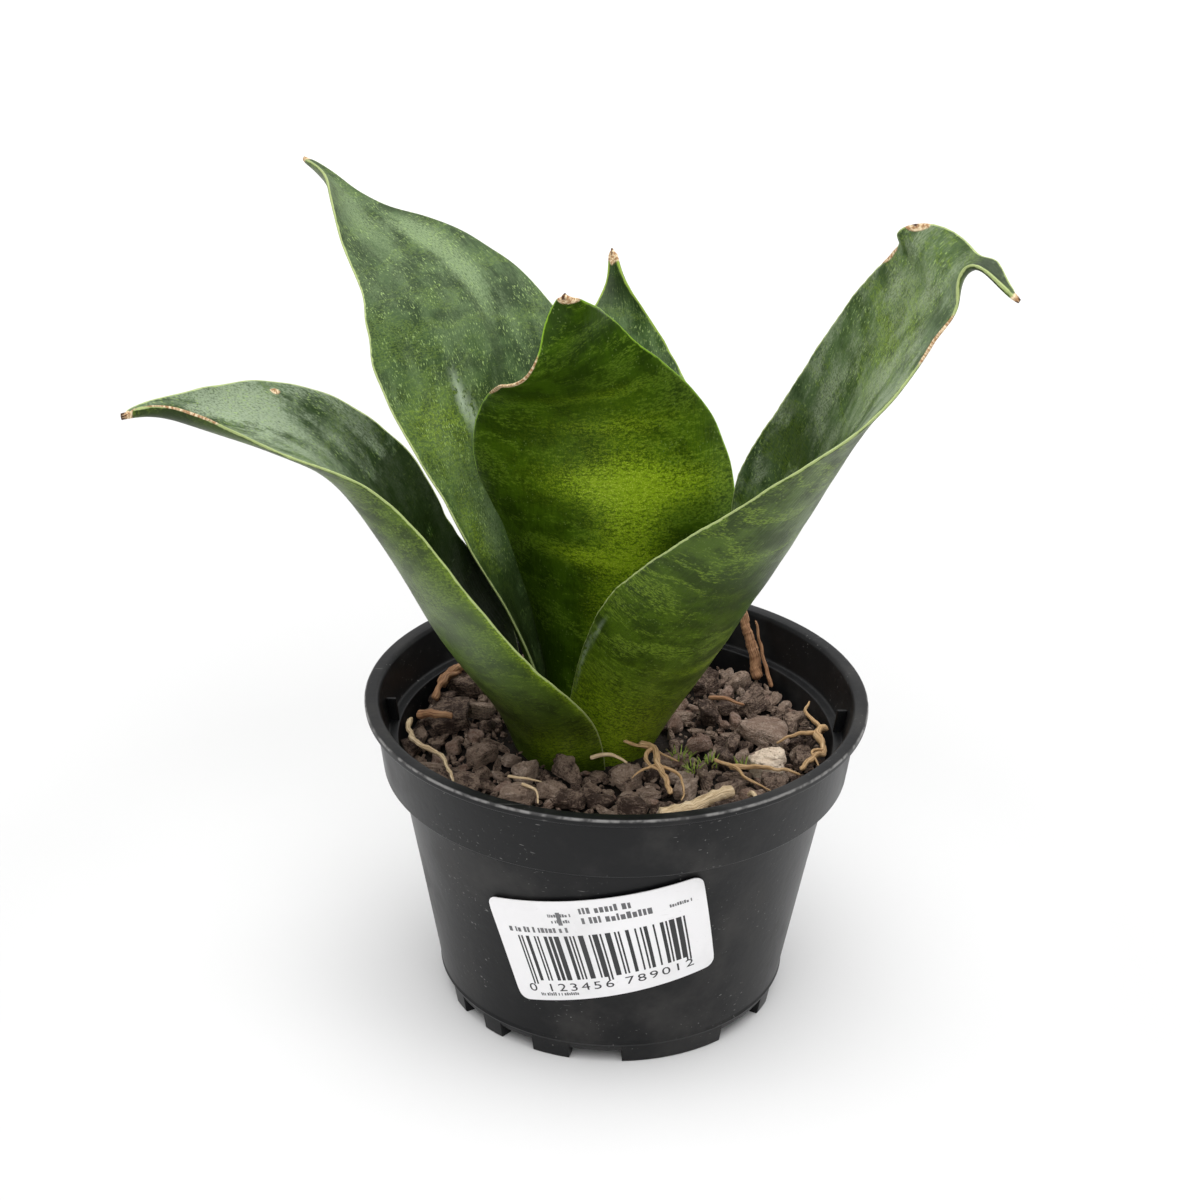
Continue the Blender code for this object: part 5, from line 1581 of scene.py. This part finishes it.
@dataclass
class Moss:
    """Small green sprigs between the chips on the right."""

    patches: tuple[tuple[float, float, float], ...] = (
        (20.5, -12.5, 2.6), (27.5, -13.5, 1.8), (14.0, -9.5, 2.4), (17, -15, 1.8)
    )
    sprigs: int = 15

    def build(self, effects: Effects) -> None:
        """Each sprig is a short tapered tube that leans away from its patch's middle."""
        chance = np.random.default_rng(8)
        spots = np.repeat(np.array(self.patches), self.sprigs, axis=0)
        count = len(spots)
        turn, away = chance.uniform(0, math.tau, count), np.sqrt(chance.uniform(0, 1, count))
        foot = spots[:, :2] + (away * spots[:, 2])[:, None] * np.stack([np.cos(turn), np.sin(turn)], axis=1)
        rise = np.linspace(0, 1, 6)[None, :, None]
        lean = chance.uniform(0.3, 1.6, count)[:, None, None]
        out = np.stack([np.cos(turn), np.sin(turn)], axis=1)[:, None] * lean * rise**1.4
        tall = chance.uniform(0.6, 2.2, count)[:, None, None]
        line = np.concatenate([foot[:, None] + out, 60.4 + tall * rise + 0 * out[..., :1]], axis=2)
        ring = np.linspace(0, math.tau, 5, endpoint=False)[None, None]
        radius = 0.2 * (1 - 0.75 * rise)
        points = np.stack(np.broadcast_arrays(
            line[..., :1] + radius * np.cos(ring), line[..., 1:2] + radius * np.sin(ring), line[..., 2:]
        ), axis=-1) * MM
        tint = np.broadcast_to(chance.uniform(0, 1, (count, 1, 1)), points.shape[:3])
        green = CrustFinish("moss_green", (0.12, 0.16, 0.02), (0.26, 0.36, 0.06), (0.5, 0.52, 0.2), 0.8, 0.0001)
        shell = closed_rings(points, {"grain": points / MM, "tint": tint})
        place("moss_sprigs", shell, green.material(effects), Slot.BARK)


# ---------------------------------------------------------------- studio


@dataclass
class Studio:
    """Pale floor, soft light and the camera."""

    aim: tuple[float, float, float] = (-4.0, 0.0, 93.4)
    distance: float = 609.0
    elevation: float = 26.1
    roll: float = 1.1
    lens: float = 85.0
    floor_size: float = 6.0

    def floor(self) -> None:
        """A wide pale floor, painted darker round the pot as its soft shadow and lighter just under it."""
        reach = np.array(((-1, -1, 0), (1, -1, 0), (1, 1, 0), (-1, 1, 0)), float) * self.floor_size / 2
        shell = Shell(reach, np.array([[0, 1, 2, 3]]), np.zeros((0, 3), int))
        mesh = filled_mesh("studio_floor", shell, np.zeros(3))
        made, wire, shader = new_finish("studio_floor_matt")
        spot = wire.add("TexCoord").outputs["Object"]
        # Painted shadow: the floor is darkest in a ring about 0.15 m from the middle and fades to its plain 0.95 by
        # 0.9 m; within 0.05 m it is lighter again, to soften the contact shadow.
        away = wire.add("VectorMath", {0: spot}, operation="LENGTH").outputs["Value"]
        painted_shadow = wire.mix(wire.noise(spot, 3.0, 2, 0.5), (0.62, 0.62, 0.62), (0.63, 0.63, 0.63))
        painted_shadow = wire.mix(wire.step(away, 0.05, 0.15), (0.75, 0.75, 0.75), painted_shadow)
        wire.put(shader.inputs["Base Color"], wire.mix(wire.step(away, 0.12, 0.9), painted_shadow, (0.95, 0.95, 0.95)))
        shader.inputs["Roughness"].default_value = 0.9
        shader.inputs["Specular IOR Level"].default_value = 0.1
        mesh.materials.append(made)
        floor = bpy.data.objects.new("studio_floor", mesh)
        bpy.context.scene.collection.objects.link(floor)

    def softbox(self, name: str, spot: tuple[float, float, float], size: float, energy: float) -> None:
        """A square soft light at a spot in metres, facing the plant."""
        data = bpy.data.lights.new(name, "AREA")
        data.shape = "SQUARE"
        data.size = size
        data.energy = energy
        light = bpy.data.objects.new(name, data)
        away = np.array(spot) - np.array((0.0, 0.0, 0.09))
        away /= np.linalg.norm(away)
        side = np.cross((0.0, 1.0, 0.02), away)
        side /= np.linalg.norm(side)
        over = np.cross(away, side)
        turned = Matrix(np.stack([side, over, away], axis=1).tolist()).to_4x4()
        turned.translation = np.array(spot) + AXIS
        light.matrix_world = turned
        bpy.context.scene.collection.objects.link(light)

    def sky(self) -> None:
        """Soft surrounding light, dimmer from the camera's side, over a white backdrop."""
        world = bpy.data.worlds.new("studio_surround")
        world.use_nodes = True
        wire = Wiring(world.node_tree)
        background = world.node_tree.nodes["Background"]
        way = wire.add("TexCoord").outputs["Generated"]
        parts = wire.add("SeparateXYZ", {0: way}).outputs
        share = wire.step(parts[1], -0.5, 0.5)
        level = wire.mix(share, (0.5, 0.5, 0.5), (0.8, 0.8, 0.8))
        seen = wire.add("LightPath").outputs["Is Camera Ray"]
        wire.put(background.inputs["Color"], wire.mix(seen, level, (1.0, 1.0, 1.0)))
        background.inputs["Strength"].default_value = 1.0
        bpy.context.scene.world = world

    def camera(self) -> None:
        """Places the camera on its line of sight, turned a little about it."""
        e, r = math.radians(self.elevation), math.radians(self.roll)
        back = np.array((0, -math.cos(e), math.sin(e)))
        right = np.array((1.0, 0, 0))
        up = np.cross(back, right)
        across = math.cos(r) * right + math.sin(r) * up
        over = -math.sin(r) * right + math.cos(r) * up
        turned = Matrix(np.stack([across, over, back], axis=1).tolist()).to_4x4()
        turned.translation = (np.array(self.aim) + back * self.distance) * MM + AXIS
        data = bpy.data.cameras.new("studio_camera")
        data.lens = self.lens
        data.sensor_width = 36.0
        data.clip_start = 0.01
        camera = bpy.data.objects.new("studio_camera", data)
        camera.matrix_world = turned
        bpy.context.scene.collection.objects.link(camera)
        bpy.context.scene.camera = camera

    def build(self) -> None:
        """Makes the floor, lights, surround and camera, with plain colour handling."""
        self.floor()
        self.softbox("softbox_front", (-0.16, -0.8, 1.3), 1.6, 15.0)
        self.softbox("softbox_top", (0.16, 0.12, 1.5), 2.1, 24.0)
        self.sky()
        self.camera()
        bpy.context.scene.view_settings.view_transform = "Standard"


def main() -> None:
    """Builds the plant piece by piece, then the studio."""
    logging.basicConfig(level=logging.INFO, format="%(name)s: %(message)s")
    effects = Effects()
    pot = Pot()
    pot.build(effects)
    Label(pot).build(effects)
    GrowingMedium(pot).build(effects)
    rhizome_low, rhizome_high = (np.array(corner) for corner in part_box("rhizome"))
    crown = (rhizome_low + rhizome_high) / 2 - AXIS
    crown[2] = rhizome_high[2] + 0.3 * MM
    bases = []
    for leaf in rosette():
        shell = leaf.build(effects, crown)
        bases.append(shell.points[(shell.points[:, 2] > 53 * MM) & (shell.points[:, 2] < 64 * MM), :2][::5])
    Mulch(np.concatenate(bases)).build(effects)
    Pebble().build(effects)
    LooseStrands().build(effects)
    Moss().build(effects)
    Studio().build()


if __name__ == "__main__":
    main()
